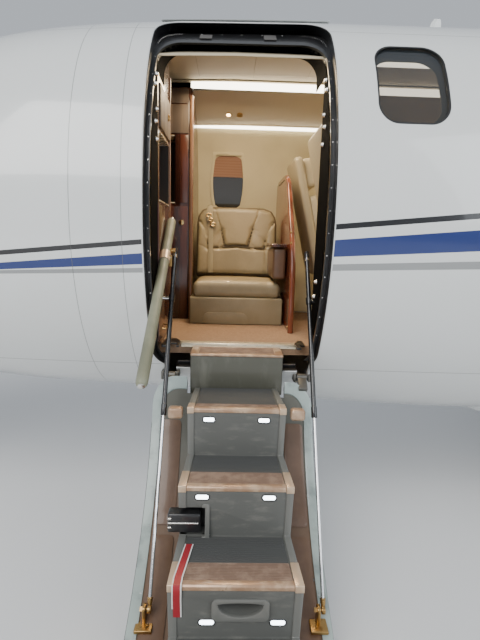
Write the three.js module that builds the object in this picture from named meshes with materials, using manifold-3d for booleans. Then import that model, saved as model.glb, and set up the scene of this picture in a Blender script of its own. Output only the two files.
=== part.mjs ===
// A light twin-engine business jet, parked on its gear with its entry airstair lowered.
// Millimetres. +X runs aft, +Y to starboard, +Z up. The floor is z = 0.
import * as THREE from "three";
import { mergeVertices } from "three/addons/utils/BufferGeometryUtils.js";
import Module from "manifold-3d";

const wasm = await Module();
wasm.setup();

// Driving dimensions
const NOSE_TIP = -7820; // and the tail tip is at +7820, so the length is 15.64 m
const CABIN_WALL = 80; // skin, frames and trim together
const COCKPIT_WALL = 60;
const FIT = 0.3; // gap between pieces that touch
const RUNNING = 6; // gap round pieces that move
const RING_SIDES = 24;
const FULLNESS = 2.2; // of the upper half, where 2 would make an ellipse
const BAR_SIDES = 12;
const NOSE_END = -5990;
const COCKPIT_END = -4560;
const CABIN_END = 1900;
const TAIL_END = 6600;
const FLOOR_TOP = 1130;
const FLOOR_THICK = 50;

// Fuselage stations: x, half width, top, bottom, height of the widest line
const STATIONS = [
  [-7820, 14, 1384, 1356, 1370],
  [-7740, 150, 1520, 1235, 1365],
  [-7500, 300, 1660, 1130, 1370],
  [-7000, 470, 1840, 990, 1400],
  [-6400, 610, 2010, 885, 1460],
  [-5900, 705, 2140, 855, 1530],
  [-5500, 765, 2400, 845, 1610],
  [-5200, 806, 2580, 838, 1670],
  [-4900, 838, 2662, 812, 1705],
  [-4600, 860, 2700, 798, 1728],
  [-4300, 872, 2722, 784, 1742],
  [-3870, 880, 2736, 760, 1750],
  [-3400, 885, 2746, 718, 1752],
  [-2500, 888, 2750, 685, 1752],
  [1000, 888, 2750, 685, 1752],
  [2000, 875, 2748, 795, 1765],
  [3000, 800, 2740, 990, 1840],
  [4000, 660, 2690, 1290, 1960],
  [5000, 480, 2600, 1640, 2100],
  [5800, 300, 2500, 1920, 2200],
  [6600, 90, 2370, 2180, 2275],
];
// Where the lofts have their rings
const NOSE_RINGS = [NOSE_TIP, -7795, -7740, -7620, -7400, -7100, -6750, -6400, -6150, NOSE_END];
const COCKPIT_RINGS = [NOSE_END, -5750, -5500, -5250, -5000, -4780, COCKPIT_END];
const CABIN_RINGS = [COCKPIT_END, -4300, -3870, -3400, -2500, 1000, 1500, CABIN_END];
const TAIL_RINGS = [CABIN_END, 2400, 3000, 3600, 4300, 5000, 5800, TAIL_END];

// Materials: colour, roughness, metalness
const FINISHES = {
  whitePaint: [0xe9ebea, 0.25, 0.1],
  blackTrim: [0x17181a, 0.5, 0.1],
  glass: [0x1c232a, 0.08, 0.0],
  darkPlastic: [0x3a3a3b, 0.6, 0.0],
  brightMetal: [0xb9bcc0, 0.25, 1.0],
  tyre: [0x1b1b1c, 0.9, 0.0],
  leather: [0xc9bda6, 0.55, 0.0],
  wood: [0x4a261c, 0.3, 0.0],
  carpet: [0xb7ab98, 0.95, 0.0],
  padding: [0xb5b39c, 0.6, 0.0],
};
const materials = {};
for (const [name, [color, roughness, metalness]] of Object.entries(FINISHES)) {
  materials[name] = new THREE.MeshStandardMaterial({ color, roughness, metalness });
}

// Shapes become solids, which join and cut, and solids become meshes.
function solid(geometry) {
  const bare = new THREE.BufferGeometry().setAttribute("position", geometry.getAttribute("position"));
  if (geometry.index) bare.setIndex(geometry.index);
  const merged = mergeVertices(bare, 1e-3);
  const build = (triVerts) => new wasm.Manifold(new wasm.Mesh({
    numProp: 3, vertProperties: merged.attributes.position.array, triVerts,
  }));
  const triangles = new Uint32Array(merged.index.array);
  const made = build(triangles);
  return made.volume() > 0 ? made : build(triangles.reverse());
}

const jet = new THREE.Group();

function piece(name, body, finish, parent = jet) {
  const { vertProperties, triVerts } = body.getMesh();
  const geometry = new THREE.BufferGeometry();
  geometry.setAttribute("position", new THREE.BufferAttribute(vertProperties, 3));
  geometry.setIndex(new THREE.BufferAttribute(triVerts, 1));
  geometry.computeVertexNormals();
  const mesh = new THREE.Mesh(geometry, materials[finish]);
  mesh.name = name;
  parent.add(mesh);
  return mesh;
}

const join = (first, ...rest) => rest.reduce((sum, next) => sum.add(next), first);
const cut = (first, ...rest) => rest.reduce((left, next) => left.subtract(next), first);

// A closed skin through rings of points, with a flat fan over each end
function loft(rings) {
  const count = rings[0].length;
  const points = rings.flat();
  const faces = [];
  for (let r = 0; r + 1 < rings.length; r++) {
    for (let i = 0; i < count; i++) {
      const a = r * count + i;
      const b = r * count + ((i + 1) % count);
      faces.push(a, b, a + count, b, b + count, a + count);
    }
  }
  const last = (rings.length - 1) * count;
  for (let i = 1; i + 1 < count; i++) {
    faces.push(0, i + 1, i, last, last + i, last + i + 1);
  }
  const geometry = new THREE.BufferGeometry().setFromPoints(points);
  geometry.setIndex(faces);
  return solid(geometry);
}

function box(x0, x1, y0, y1, z0, z1) {
  const geometry = new THREE.BoxGeometry(x1 - x0, y1 - y0, z1 - z0);
  return solid(geometry.translate((x0 + x1) / 2, (y0 + y1) / 2, (z0 + z1) / 2));
}

// An outline of [a, b] points, or a Shape, extruded along one axis
function extrude(outline, axis, from, to, curveSegments = 5) {
  const shape = outline instanceof THREE.Shape
    ? outline
    : new THREE.Shape(outline.map(([a, b]) => new THREE.Vector2(a, b)));
  const geometry = new THREE.ExtrudeGeometry(shape, {
    depth: to - from, bevelEnabled: false, curveSegments,
  });
  const basis = {
    x: [0, 0, 1, from, 1, 0, 0, 0, 0, 1, 0, 0],
    y: [1, 0, 0, 0, 0, 0, -1, to, 0, 1, 0, 0],
    z: [1, 0, 0, 0, 0, 1, 0, 0, 0, 0, 1, from],
  }[axis];
  return solid(geometry.applyMatrix4(new THREE.Matrix4().set(...basis, 0, 0, 0, 1)));
}

function roundedRect(a0, a1, b0, b1, radius) {
  const shape = new THREE.Shape();
  shape.absarc(a1 - radius, b1 - radius, radius, 0, Math.PI / 2);
  shape.absarc(a0 + radius, b1 - radius, radius, Math.PI / 2, Math.PI);
  shape.absarc(a0 + radius, b0 + radius, radius, Math.PI, Math.PI * 1.5);
  shape.absarc(a1 - radius, b0 + radius, radius, Math.PI * 1.5, Math.PI * 2);
  return shape;
}

// A round bar or cone between two points
function bar(from, to, radius, endRadius = radius, sides = BAR_SIDES) {
  const a = new THREE.Vector3(...from);
  const b = new THREE.Vector3(...to);
  const geometry = new THREE.CylinderGeometry(endRadius, radius, a.distanceTo(b), sides);
  const along = b.clone().sub(a).normalize();
  geometry.applyQuaternion(new THREE.Quaternion().setFromUnitVectors(new THREE.Vector3(0, 1, 0), along));
  const middle = a.add(b).multiplyScalar(0.5);
  return solid(geometry.translate(middle.x, middle.y, middle.z));
}

// A faceted bore whose flats clear a faceted pin of this radius at every angle
const boreFor = (radius, sides = BAR_SIDES) => radius / Math.cos(Math.PI / sides) + FIT;

// A profile of [radius, height] turned round the Y axis
function turned(profile, segments = 24) {
  const points = profile.map(([radius, height]) => new THREE.Vector2(radius, height));
  return solid(new THREE.LatheGeometry(points, segments));
}

// Fuselage section at x: the stations joined by cubic curves that don't overshoot
function stationAt(x) {
  const last = STATIONS.length - 1;
  let k = 0;
  while (k < last - 1 && x > STATIONS[k + 1][0]) k++;
  const [a, b] = [STATIONS[k], STATIONS[k + 1]];
  const span = b[0] - a[0];
  const t = (x - a[0]) / span;
  const slope = (i, c) => {
    if (i <= 0 || i >= last) return (STATIONS[i ? last : 1][c] - STATIONS[i ? last - 1 : 0][c])
      / (STATIONS[i ? last : 1][0] - STATIONS[i ? last - 1 : 0][0]);
    const before = (STATIONS[i][c] - STATIONS[i - 1][c]) / (STATIONS[i][0] - STATIONS[i - 1][0]);
    const after = (STATIONS[i + 1][c] - STATIONS[i][c]) / (STATIONS[i + 1][0] - STATIONS[i][0]);
    return before * after > 0 ? (2 * before * after) / (before + after) : 0;
  };
  return [1, 2, 3, 4].map((c) => {
    const rise = 3 * t * t - 2 * t * t * t;
    return a[c] * (1 - rise) + b[c] * rise
      + span * (slope(k, c) * (t - 2 * t * t + t * t * t) + slope(k + 1, c) * (t * t * t - t * t));
  });
}

function fuselageRing(x, inset) {
  const [halfWidth, top, bottom, middle] = stationAt(x);
  return Array.from({ length: RING_SIDES }, (_, i) => {
    const angle = (2 * Math.PI * i) / RING_SIDES;
    const [across, up] = [Math.cos(angle), Math.sin(angle)];
    const full = (value) => Math.sign(value) * Math.abs(value) ** (up > 0 ? 2 / FULLNESS : 1);
    const height = (up > 0 ? top - middle : middle - bottom) - inset;
    return new THREE.Vector3(x, (halfWidth - inset) * full(across), middle + height * full(up));
  });
}

const fuselage = (rings, inset) => loft(rings.map((x) => fuselageRing(x, inset)));

// The same loft reaches a little past both ends, so that it can cut a tube.
function core(rings, inset, past = 20) {
  const sections = rings.map((x) => fuselageRing(x, inset));
  const stretch = (ring, dx) => ring.map((p) => new THREE.Vector3(p.x + dx, p.y, p.z));
  return loft([stretch(sections[0], -past), ...sections, stretch(sections.at(-1), past)]);
}

// A layer of the wall between two depths under the skin
const wallLayer = (rings, outer, inner) => cut(fuselage(rings, outer), core(rings, inner));

// Airframe shells
const DOOR_X = -3870;
const CUTOUT = { middle: -12, half: 386, bottom: 1030, top: 2635, radius: 110 };
const CLEAR_HALF = 364; // between the door frame's jambs
const CLEAR_TOP = 2505;
const DOOR_THICK = 45;
const STEP_SLOT = { half: 225, bottom: 905, depth: 300 }; // where the top step slides in
const LUGS = [-320, 320]; // hinge lugs, from the door's middle
const HINGE = { y: -600, z: 995, pin: 9 };
const WINDOW = { half: 147, bottom: 2118, top: 2475, radius: 85 };
const WINDOW_PITCH = 840;
const PORT_WINDOWS = [0, 1, 2, 3, 4].map((k) => -3190 + k * WINDOW_PITCH);
const STARBOARD_WINDOWS = [-3990, ...PORT_WINDOWS];
const GLASS_DEPTHS = { outer: 30, inner: 50 };

const nearDoor = (x) => DOOR_X + x;
const doorway = (half, bottom, top, radius) => extrude(
  roundedRect(nearDoor(CUTOUT.middle - half), nearDoor(CUTOUT.middle + half), bottom, top, radius),
  "y", -1200, -150, 4);
const side = (isPort) => (isPort ? [-1200, -350] : [350, 1200]);

function windowOpenings(centres, isPort) {
  return join(...centres.map((x) => extrude(
    roundedRect(x - WINDOW.half, x + WINDOW.half, WINDOW.bottom, WINDOW.top, WINDOW.radius),
    "y", ...side(isPort), 2)));
}

// One belt of glazing carries all the panes of a side inside the wall.
function windowBelt(centres, isPort, shrink) {
  const outline = roundedRect(centres[0] - 200 + shrink, centres.at(-1) + 200 - shrink,
    WINDOW.bottom - 35 + shrink, WINDOW.top + 35 - shrink, 60);
  const layer = wallLayer(CABIN_RINGS, GLASS_DEPTHS.outer + shrink, GLASS_DEPTHS.inner - shrink);
  return layer.intersect(extrude(outline, "y", ...side(isPort), 1));
}

const armSlots = LUGS.map((x) => box(nearDoor(x - 28), nearDoor(x + 28), -1200, -500, 950, 1100));
const hingeBrackets = LUGS.flatMap((x) => [-1, 1].map((s) => {
  const near = x + s * 29;
  const far = x + s * 43;
  return box(nearDoor(Math.min(near, far)), nearDoor(Math.max(near, far)), HINGE.y - 18, -520,
    HINGE.z - 20, HINGE.z + 20);
}));
const hingePins = LUGS.map((x) => bar([nearDoor(x - 40), HINGE.y, HINGE.z],
  [nearDoor(x + 40), HINGE.y, HINGE.z], HINGE.pin));

// Drip rail over the door and an aerial on the roof
const RAIN = { half: 402, proud: 11, z0: 2679, z1: 2692 };
const dripRail = wallLayer(CABIN_RINGS, -RAIN.proud, 10).intersect(
  box(nearDoor(-RAIN.half), nearDoor(RAIN.half), -600, -150, RAIN.z0, RAIN.z1));
const AERIAL_X = -2815;
const aerial = extrude([[AERIAL_X - 60, 2740], [AERIAL_X + 45, 2740], [AERIAL_X + 45, 2872],
  [AERIAL_X + 35, 2882], [AERIAL_X - 5, 2882]], "y", -7, 7);

const cabinTube = cut(fuselage(CABIN_RINGS, 0), core(CABIN_RINGS, CABIN_WALL));
piece("cabin_shell", join(
  cut(cabinTube,
    doorway(CUTOUT.half, CUTOUT.bottom, CUTOUT.top, CUTOUT.radius),
    box(nearDoor(-STEP_SLOT.half), nearDoor(STEP_SLOT.half), -1200, -STEP_SLOT.depth,
      STEP_SLOT.bottom, 1200),
    ...armSlots,
    windowOpenings(PORT_WINDOWS, true), windowOpenings(STARBOARD_WINDOWS, false),
    windowBelt(PORT_WINDOWS, true, 0), windowBelt(STARBOARD_WINDOWS, false, 0)),
  ...hingeBrackets, ...hingePins, dripRail, aerial), "whitePaint");
piece("cabin_windows_port", windowBelt(PORT_WINDOWS, true, FIT), "glass");
piece("cabin_windows_starboard", windowBelt(STARBOARD_WINDOWS, false, FIT), "glass");

// Cockpit: two windshield panes and two side panes, one glazing piece a side
const FRONT_PANE = [[-5930, 1985], [-5345, 1962], [-5292, 2300], [-5400, 2500], [-5930, 2400]];
const SIDE_PANE = [[-5268, 1962], [-4985, 1985], [-4930, 2085], [-5040, 2270], [-5215, 2330]];
const GLAZING = [[-5955, 1955], [-5300, 1932], [-4970, 1950], [-4895, 2085], [-5010, 2320],
  [-5240, 2400], [-5370, 2540], [-5955, 2440]];
const CENTRE_POST = 32;
const COCKPIT_GLASS = { outer: 22, inner: 38, post: 14 };

function cockpitGlazing(isPort, shrink) {
  const reach = COCKPIT_GLASS.post + shrink;
  const span = isPort ? [-1000, -reach] : [reach, 1000];
  const layer = wallLayer(COCKPIT_RINGS, COCKPIT_GLASS.outer + shrink, COCKPIT_GLASS.inner - shrink);
  const outline = extrude(GLAZING, "y", ...span);
  const trimmed = shrink ? outline.intersect(outline.translate(shrink, 0, shrink))
    .intersect(outline.translate(-shrink, 0, -shrink)) : outline;
  return layer.intersect(trimmed);
}

const paneCuts = [FRONT_PANE, SIDE_PANE].flatMap((pane) => [
  extrude(pane, "y", -1000, -CENTRE_POST), extrude(pane, "y", CENTRE_POST, 1000)]);
const cockpitRings = COCKPIT_RINGS.with(-1, COCKPIT_END - FIT);
piece("cockpit_shell", cut(fuselage(cockpitRings, 0), core(cockpitRings, COCKPIT_WALL),
  ...paneCuts, cockpitGlazing(true, 0), cockpitGlazing(false, 0)), "whitePaint");
piece("windshield_port", cockpitGlazing(true, FIT), "glass");
piece("windshield_starboard", cockpitGlazing(false, FIT), "glass");

// Nose with the nose gear's bay under it
const NOSE_GEAR_X = -6300;
const BAY = { x0: -6690, x1: -6080, half: 125, top: 1150 };
piece("nose_cone", cut(fuselage(NOSE_RINGS.with(-1, NOSE_END - FIT), 0),
  box(BAY.x0, BAY.x1, -BAY.half, BAY.half, 600, BAY.top)), "whitePaint");

// The tail cone is a shell too, closed at the back.
const tailRings = TAIL_RINGS.with(0, CABIN_END + FIT);
const tailHollow = [CABIN_END + FIT, 2400, 3000, 3600, 4300, 5000];
piece("tail_cone", cut(fuselage(tailRings, 0), core(tailHollow, CABIN_WALL, 30)), "whitePaint");

// Belly fairing, wrapped round the cabin's underside where the wings pass
const FAIRING = { x0: -2500, x1: 3100, half: 950, bottom: 615, top: 1180 };
function fairingSolid(grow) {
  const sections = [[0, 0.25, 0.12], [0.06, 0.7, 0.6], [0.18, 0.97, 0.95], [0.35, 1, 1],
    [0.65, 1, 1], [0.82, 0.93, 0.9], [0.94, 0.62, 0.55], [1, 0.3, 0.1]];
  const keel = 700;
  return loft(sections.map(([along, wide, deep]) => {
    const x = FAIRING.x0 + along * (FAIRING.x1 - FAIRING.x0);
    return Array.from({ length: 24 }, (_, i) => {
      const angle = (2 * Math.PI * i) / 24;
      const squash = (value) => Math.sign(value) * Math.abs(value) ** 0.6;
      const z = Math.sin(angle) > 0
        ? 900 + squash(Math.sin(angle)) * (FAIRING.top - 900 + grow)
        : 900 + squash(Math.sin(angle)) * ((900 - keel) + (keel - FAIRING.bottom) * deep + grow);
      return new THREE.Vector3(x, squash(Math.cos(angle)) * (FAIRING.half * wide + grow), z);
    });
  }));
}
const allRings = [...NOSE_RINGS, ...COCKPIT_RINGS.slice(1), ...CABIN_RINGS.slice(1), ...TAIL_RINGS.slice(1)];
const outerSkin = fuselage(allRings, -FIT);
const fairing = cut(fairingSolid(0), outerSkin);
piece("belly_fairing", fairing.decompose().sort((a, b) => b.volume() - a.volume())[0], "whitePaint");

// Lifting surfaces: rings of a symmetrical section whose thickness points along `up`
const CHORD_STEPS = [1, 0.9, 0.75, 0.6, 0.45, 0.3, 0.15, 0.05, 0];
const TRAILING_EDGE = 3; // half its thickness
const halfThickness = (c) => 5 * (0.2969 * Math.sqrt(c) - 0.126 * c - 0.3516 * c ** 2
  + 0.2843 * c ** 3 - 0.1036 * c ** 4);

function sectionRing({ at, chord, thick, up }, grow) {
  const point = (c, sign) => {
    const half = Math.max(chord * thick * halfThickness(c), TRAILING_EDGE) * (c > 0 ? 1 : 0) + grow;
    const along = at[0] + chord * c + (c === 0 ? -grow : 0) + (c === 1 ? grow : 0);
    return new THREE.Vector3(along, at[1] + sign * half * up[0], at[2] + sign * half * up[1]);
  };
  const upper = CHORD_STEPS.map((c) => point(c, 1));
  const lower = CHORD_STEPS.slice(0, -1).reverse().map((c) => point(c, -1));
  upper[CHORD_STEPS.length - 1] = new THREE.Vector3(at[0] - grow, at[1], at[2]);
  return [...upper, ...lower];
}
const surface = (sections, grow = 0) => loft(sections.map((s) => sectionRing(s, grow)));

// A hinged surface is cut out behind a hinge line, with a round nose and a pin at each end.
const PIN = { reach: 40, radius: 9 };
function hinged(whole, [a, b, radiusA, radiusB], up) {
  const from = new THREE.Vector3(...a);
  const to = new THREE.Vector3(...b);
  const along = to.clone().sub(from).normalize();
  const thickness = new THREE.Vector3(0, ...up);
  const aft = thickness.clone().cross(along).normalize();
  aft.multiplyScalar(Math.sign(aft.x));
  const shifted = (p, by) => p.clone().addScaledVector(along, by).toArray();
  const behind = (p) => [[0, 1], [900, 1], [900, -1], [0, -1]].map(([reach, s]) =>
    new THREE.Vector3(...p).addScaledVector(aft, reach).addScaledVector(thickness, s * 260));
  const region = (shrink, grow) => {
    const ends = [shifted(from, shrink), shifted(to, -shrink)];
    return join(loft(ends.map(behind)), bar(...ends, radiusA + grow, radiusB + grow));
  };
  const pin = (reach, radius) => bar(shifted(from, -reach), shifted(to, reach), radius);
  return {
    body: join(whole.intersect(region(RUNNING, 0)), pin(PIN.reach, PIN.radius)),
    pocket: join(region(0, RUNNING + 2), pin(PIN.reach + 5, boreFor(PIN.radius))),
  };
}

// Hinge line between two span stations of a tapered surface, at a fraction of its chord
function hingeLine(sections, index, fromShare, toShare, chordShare) {
  const [inner, outer] = [sections[index], sections[index + 1]];
  const mix = (u, v, share) => u + (v - u) * share;
  const at = (share) => {
    const chord = mix(inner.chord, outer.chord, share);
    const thick = mix(inner.thick, outer.thick, share);
    const place = inner.at.map((value, k) => mix(value, outer.at[k], share));
    return [[place[0] + chord * chordShare, place[1], place[2]],
      chord * thick * halfThickness(chordShare) - 1];
  };
  const [[a, radiusA], [b, radiusB]] = [at(fromShare), at(toShare)];
  return [a, b, radiusA, radiusB];
}

// Wing sections for the starboard side: leading edge, chord, thickness, direction of thickness
const wingSections = (s) => [
  { at: [-1250, s * 700, 850], chord: 3150, thick: 0.13, up: [0, 1] },
  { at: [1380, s * 7420, 1200], chord: 1000, thick: 0.11, up: [0, 1] },
  { at: [1560, s * 7690, 1260], chord: 860, thick: 0.1, up: [-s * 0.5, 0.87] },
  { at: [1760, s * 7830, 1480], chord: 720, thick: 0.08, up: [-s, 0.2] },
  { at: [2180, s * 7935, 2180], chord: 430, thick: 0.08, up: [-s, 0.1] },
];
const FLAP = { from: 0.08, to: 0.55, chord: 0.76 };
const AILERON = { from: 0.6, to: 0.95, chord: 0.76 };
const MAIN_GEAR = { x: 720, legY: 1290, wheelY: 1450, radius: 280, width: 190, axle: 30 };
const JACK_PAD = { x: 300, y: 2600, half: 50, z: 770 };
const keepAway = join(fairingSolid(FIT), outerSkin);
const wings = {};
for (const [sideName, s] of [["port", -1], ["starboard", 1]]) {
  const sections = wingSections(s);
  const blank = surface(sections);
  const flapLine = hingeLine(sections, 0, FLAP.from, FLAP.to, FLAP.chord);
  const aileronLine = hingeLine(sections, 0, AILERON.from, AILERON.to, AILERON.chord);
  const flap = hinged(blank, flapLine, [0, 1]);
  const aileron = hinged(blank, aileronLine, [0, 1]);
  const pad = box(JACK_PAD.x - JACK_PAD.half, JACK_PAD.x + JACK_PAD.half,
    s * JACK_PAD.y - JACK_PAD.half, s * JACK_PAD.y + JACK_PAD.half, JACK_PAD.z, 900);
  const wing = cut(join(blank, pad), flap.pocket, aileron.pocket, keepAway);
  wings[sideName] = surface(sections, FIT);
  piece("wing_" + sideName, wing.decompose().sort((a, b) => b.volume() - a.volume())[0], "whitePaint");
  piece("flap_" + sideName, flap.body, "whitePaint");
  piece("aileron_" + sideName, aileron.body, "whitePaint");
  jet.userData["flap_" + sideName] = flapLine;
  jet.userData["aileron_" + sideName] = aileronLine;
}

// T-tail with a bullet fairing, elevators, fin and rudder
const TAILPLANE_Z = 4955;
const tailplaneSide = (s) => [
  { at: [5950, 0, TAILPLANE_Z], chord: 1400, thick: 0.1, up: [0, 1] },
  { at: [7084, s * 2640, TAILPLANE_Z + 40], chord: 736, thick: 0.09, up: [0, 1] },
];
const BULLET = [[0, 5650], [60, 5730], [105, 5900], [135, 6250], [140, 6700], [110, 7200],
  [55, 7550], [0, 7640]];
const ELEVATOR = { from: 0.08, to: 0.95, chord: 0.7 };
const finSections = [
  { at: [4050, 0, 2280], chord: 2600, thick: 0.1, up: [1, 0] },
  { at: [5880, 0, 4950], chord: 1400, thick: 0.1, up: [1, 0] },
];
const RUDDER = { from: 0.16, to: 0.86, chord: 0.72 };

const bullet = (grow) => turned(BULLET.map(([r, x]) => [r ? r + grow : 0, x]), 12)
  .rotate(0, 0, -90).translate(0, 0, TAILPLANE_Z);
let tailplane = bullet(0);
for (const [sideName, s] of [["port", -1], ["starboard", 1]]) {
  const sections = tailplaneSide(s);
  const blank = surface(sections);
  const line = hingeLine(sections, 0, ELEVATOR.from, ELEVATOR.to, ELEVATOR.chord);
  const elevator = hinged(blank, line, [0, 1]);
  tailplane = cut(join(tailplane, blank), elevator.pocket);
  piece("elevator_" + sideName, elevator.body, "whitePaint");
  jet.userData["elevator_" + sideName] = line;
}
piece("tailplane", tailplane, "whitePaint");

const rudderLine = hingeLine(finSections, 0, RUDDER.from, RUDDER.to, RUDDER.chord);
const rudder = hinged(surface(finSections), rudderLine, [1, 0]);
jet.userData.rudder = rudderLine;
const tailSides = [-1, 1].map((s) => surface(tailplaneSide(s), FIT));
const fin = cut(surface(finSections), rudder.pocket, outerSkin, bullet(FIT), ...tailSides);
piece("fin", fin.decompose().sort((a, b) => b.volume() - a.volume())[0], "whitePaint");
piece("rudder", rudder.body, "whitePaint");

// Engines: cowl, fan, a plain core block with its vanes, and the pylon
const NACELLE = { y: 1320, z: 2350, x: 2600 };
const COWL = [[352, 15], [372, 0], [395, 10], [425, 70], [448, 220], [460, 600], [458, 1300],
  [420, 2000], [352, 2600], [335, 2600], [362, 2000], [365, 1200], [362, 400], [345, 120]];
const FAN = { x: 360, radius: 356, hub: 110, depth: 70, blades: 12, shaft: 22, sides: 24 };
const CORE = [[0, 470], [150, 470], [185, 620], [190, 1500], [150, 2200], [105, 2450], [20, 2700], [0, 2700]];
const PYLON = { at: [2950, 0, NACELLE.z], chord: 2000, thick: 0.08, up: [0, 1] };

// Turned profiles given along +Y are laid along +X.
const layAft = (body) => body.rotate(0, 0, -90);

function fanBody() {
  const nose = Array.from({ length: 5 }, (_, i) => {
    const t = (i * Math.PI) / 8;
    return [FAN.hub * Math.sin(t), FAN.x - 40 - 150 * Math.cos(t)];
  });
  const hub = turned([...nose, [FAN.hub, FAN.x + FAN.depth], [0, FAN.x + FAN.depth]], 16);
  const blade = solid(new THREE.BoxGeometry(26, FAN.depth * 0.8, FAN.radius - FAN.hub + 30)
    .rotateZ(0.6).translate(0, FAN.x, (FAN.radius + FAN.hub - 30) / 2));
  const blades = Array.from({ length: FAN.blades }, (_, i) => blade.rotate(0, (360 * i) / FAN.blades, 0));
  const tips = turned([[0, 0], [FAN.radius - 1, 0], [FAN.radius - 1, FAN.x + 200], [0, FAN.x + 200]], 24);
  const boreRadius = boreFor(FAN.shaft, FAN.sides);
  const bore = bar([0, FAN.x + 20, 0], [0, FAN.x + 200, 0], boreRadius, boreRadius, FAN.sides);
  return layAft(cut(join(hub, ...blades).intersect(tips), bore));
}

function coreBody() {
  const shaft = bar([0, FAN.x + 24, 0], [0, 480, 0], FAN.shaft, FAN.shaft, FAN.sides);
  const vanes = [0, 1, 2, 3, 4, 5].map((i) => solid(new THREE.BoxGeometry(20, 260, 290)
    .translate(0, 900, 230)).rotate(0, 60 * i + 30, 0));
  const duct = turned([[0, 400], [362 - FIT, 400], [365 - FIT, 1200], [0, 1200]], 24);
  return layAft(join(turned(CORE, 16), shaft, ...vanes.map((vane) => vane.intersect(duct))));
}

const cowl = layAft(turned([...COWL, COWL[0]]));
const cowlFilled = layAft(turned([[0, 0], ...COWL.slice(1, 9).map(([r, x]) => [r - 5, x]), [0, 2600]]));
for (const [sideName, s] of [["port", -1], ["starboard", 1]]) {
  const engine = new THREE.Group();
  engine.position.set(NACELLE.x, s * NACELLE.y, NACELLE.z);
  jet.add(engine);
  piece("fan_" + sideName, fanBody(), "brightMetal", engine);
  piece("engine_core_" + sideName, coreBody(), "darkPlastic", engine);
  const pylon = surface([350, 1000].map((y) => ({ ...PYLON, at: [PYLON.at[0], s * y, PYLON.at[2]] })));
  const stub = cut(pylon, outerSkin).translate(-NACELLE.x, -s * NACELLE.y, -NACELLE.z);
  piece("nacelle_" + sideName, join(cowl, cut(stub, cowlFilled)), "whitePaint", engine);
}

// Nose gear: leg in its bay, a fork that steers, one wheel
const NOSE_WHEEL = { radius: 220, width: 130, axle: 16, trail: 50 };
const LEG_FOOT = 500; // height where the fork swivels under the leg
const tyreProfile = (radius, width, axle) => {
  const half = width / 2;
  const rim = radius * 0.52;
  return [[axle + FIT, -half * 0.5], [rim * 0.9, -half * 0.78], [radius * 0.8, -half],
    [radius * 0.95, -half * 0.8], [radius, -half * 0.4], [radius, half * 0.4],
    [radius * 0.95, half * 0.8], [radius * 0.8, half], [rim * 0.9, half * 0.78],
    [axle + FIT, half * 0.5]];
};
function wheel(name, spec, x, y) {
  const profile = tyreProfile(spec.radius, spec.width, spec.axle);
  const mesh = piece(name, turned([...profile, profile[0]], 24), "tyre");
  mesh.position.set(x, y, spec.radius);
}

const noseAxleX = NOSE_GEAR_X + NOSE_WHEEL.trail;
piece("nose_leg", join(
  bar([NOSE_GEAR_X, 0, LEG_FOOT], [NOSE_GEAR_X, 0, BAY.top - FIT], 52),
  bar([NOSE_GEAR_X, 0, LEG_FOOT], [NOSE_GEAR_X, 0, LEG_FOOT + 90], 64),
  bar([NOSE_GEAR_X - 20, 0, 690], [BAY.x0 + 90, 0, BAY.top - 60], 24),
  box(BAY.x0 + 50, BAY.x0 + 130, -60, 60, BAY.top - 90, BAY.top - FIT),
  bar([NOSE_GEAR_X, -BAY.half + FIT, BAY.top - 60], [NOSE_GEAR_X, BAY.half - FIT, BAY.top - 60], 30)),
  "brightMetal");
const forkHalf = NOSE_WHEEL.width / 2 + 12;
const forkArm = (s) => extrude([[NOSE_GEAR_X - 45, 470], [NOSE_GEAR_X + 45, 470], [noseAxleX + 34, 232],
  [noseAxleX + 20, 190], [noseAxleX - 20, 190], [noseAxleX - 36, 232]], "y",
s > 0 ? forkHalf : -forkHalf - 24, s > 0 ? forkHalf + 24 : -forkHalf);
piece("nose_fork", join(
  extrude([[NOSE_GEAR_X - 60, 455], [NOSE_GEAR_X + 60, 455], [NOSE_GEAR_X + 50, LEG_FOOT - FIT],
    [NOSE_GEAR_X - 50, LEG_FOOT - FIT]], "y", -forkHalf - 24, forkHalf + 24),
  forkArm(-1), forkArm(1),
  bar([noseAxleX, -forkHalf - 34, NOSE_WHEEL.radius], [noseAxleX, forkHalf + 34, NOSE_WHEEL.radius],
    NOSE_WHEEL.axle)), "brightMetal");
wheel("nose_wheel", NOSE_WHEEL, noseAxleX, 0);
for (const [sideName, s] of [["port", -1], ["starboard", 1]]) {
  const y = s * (BAY.half + 20);
  const door = box(BAY.x0 + 20, BAY.x1 - 20, y - 8, y + 8, 640, 1100);
  piece("nose_gear_door_" + sideName, cut(door, outerSkin), "whitePaint");
}

// Main gear: a leg under each wing, with the wheel outboard and a door beside it
for (const [sideName, s] of [["port", -1], ["starboard", 1]]) {
  const { x, legY, wheelY, radius, width, axle } = MAIN_GEAR;
  const y = s * legY;
  const hubY = s * (wheelY + width / 2 + 6);
  const leg = join(
    bar([x, y, 420], [x, y, 900], 52),
    bar([x, y, 420], [x, y, 230], 40),
    box(x - 46, x + 46, y - 46, y + 46, 400, 470),
    bar([x, y, radius], [x, hubY, radius], axle),
    bar([x, y, radius], [x, s * (wheelY - width * 0.3 - 6), radius], 62),
    bar([x, y, 480], [x, s * (legY - 260), 900], 26),
    bar([x, y, 470], [x - 330, y, 900], 24));
  wheel("main_wheel_" + sideName, MAIN_GEAR, x, s * wheelY);
  const doorY = s * (wheelY + 130);
  const door = join(box(x - 190, x + 200, doorY - 8, doorY + 8, 575, 900),
    bar([x, y, 640], [x, doorY, 640], 20));
  piece("main_leg_" + sideName, cut(join(leg, door), wings[sideName], keepAway), "brightMetal");
}

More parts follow.
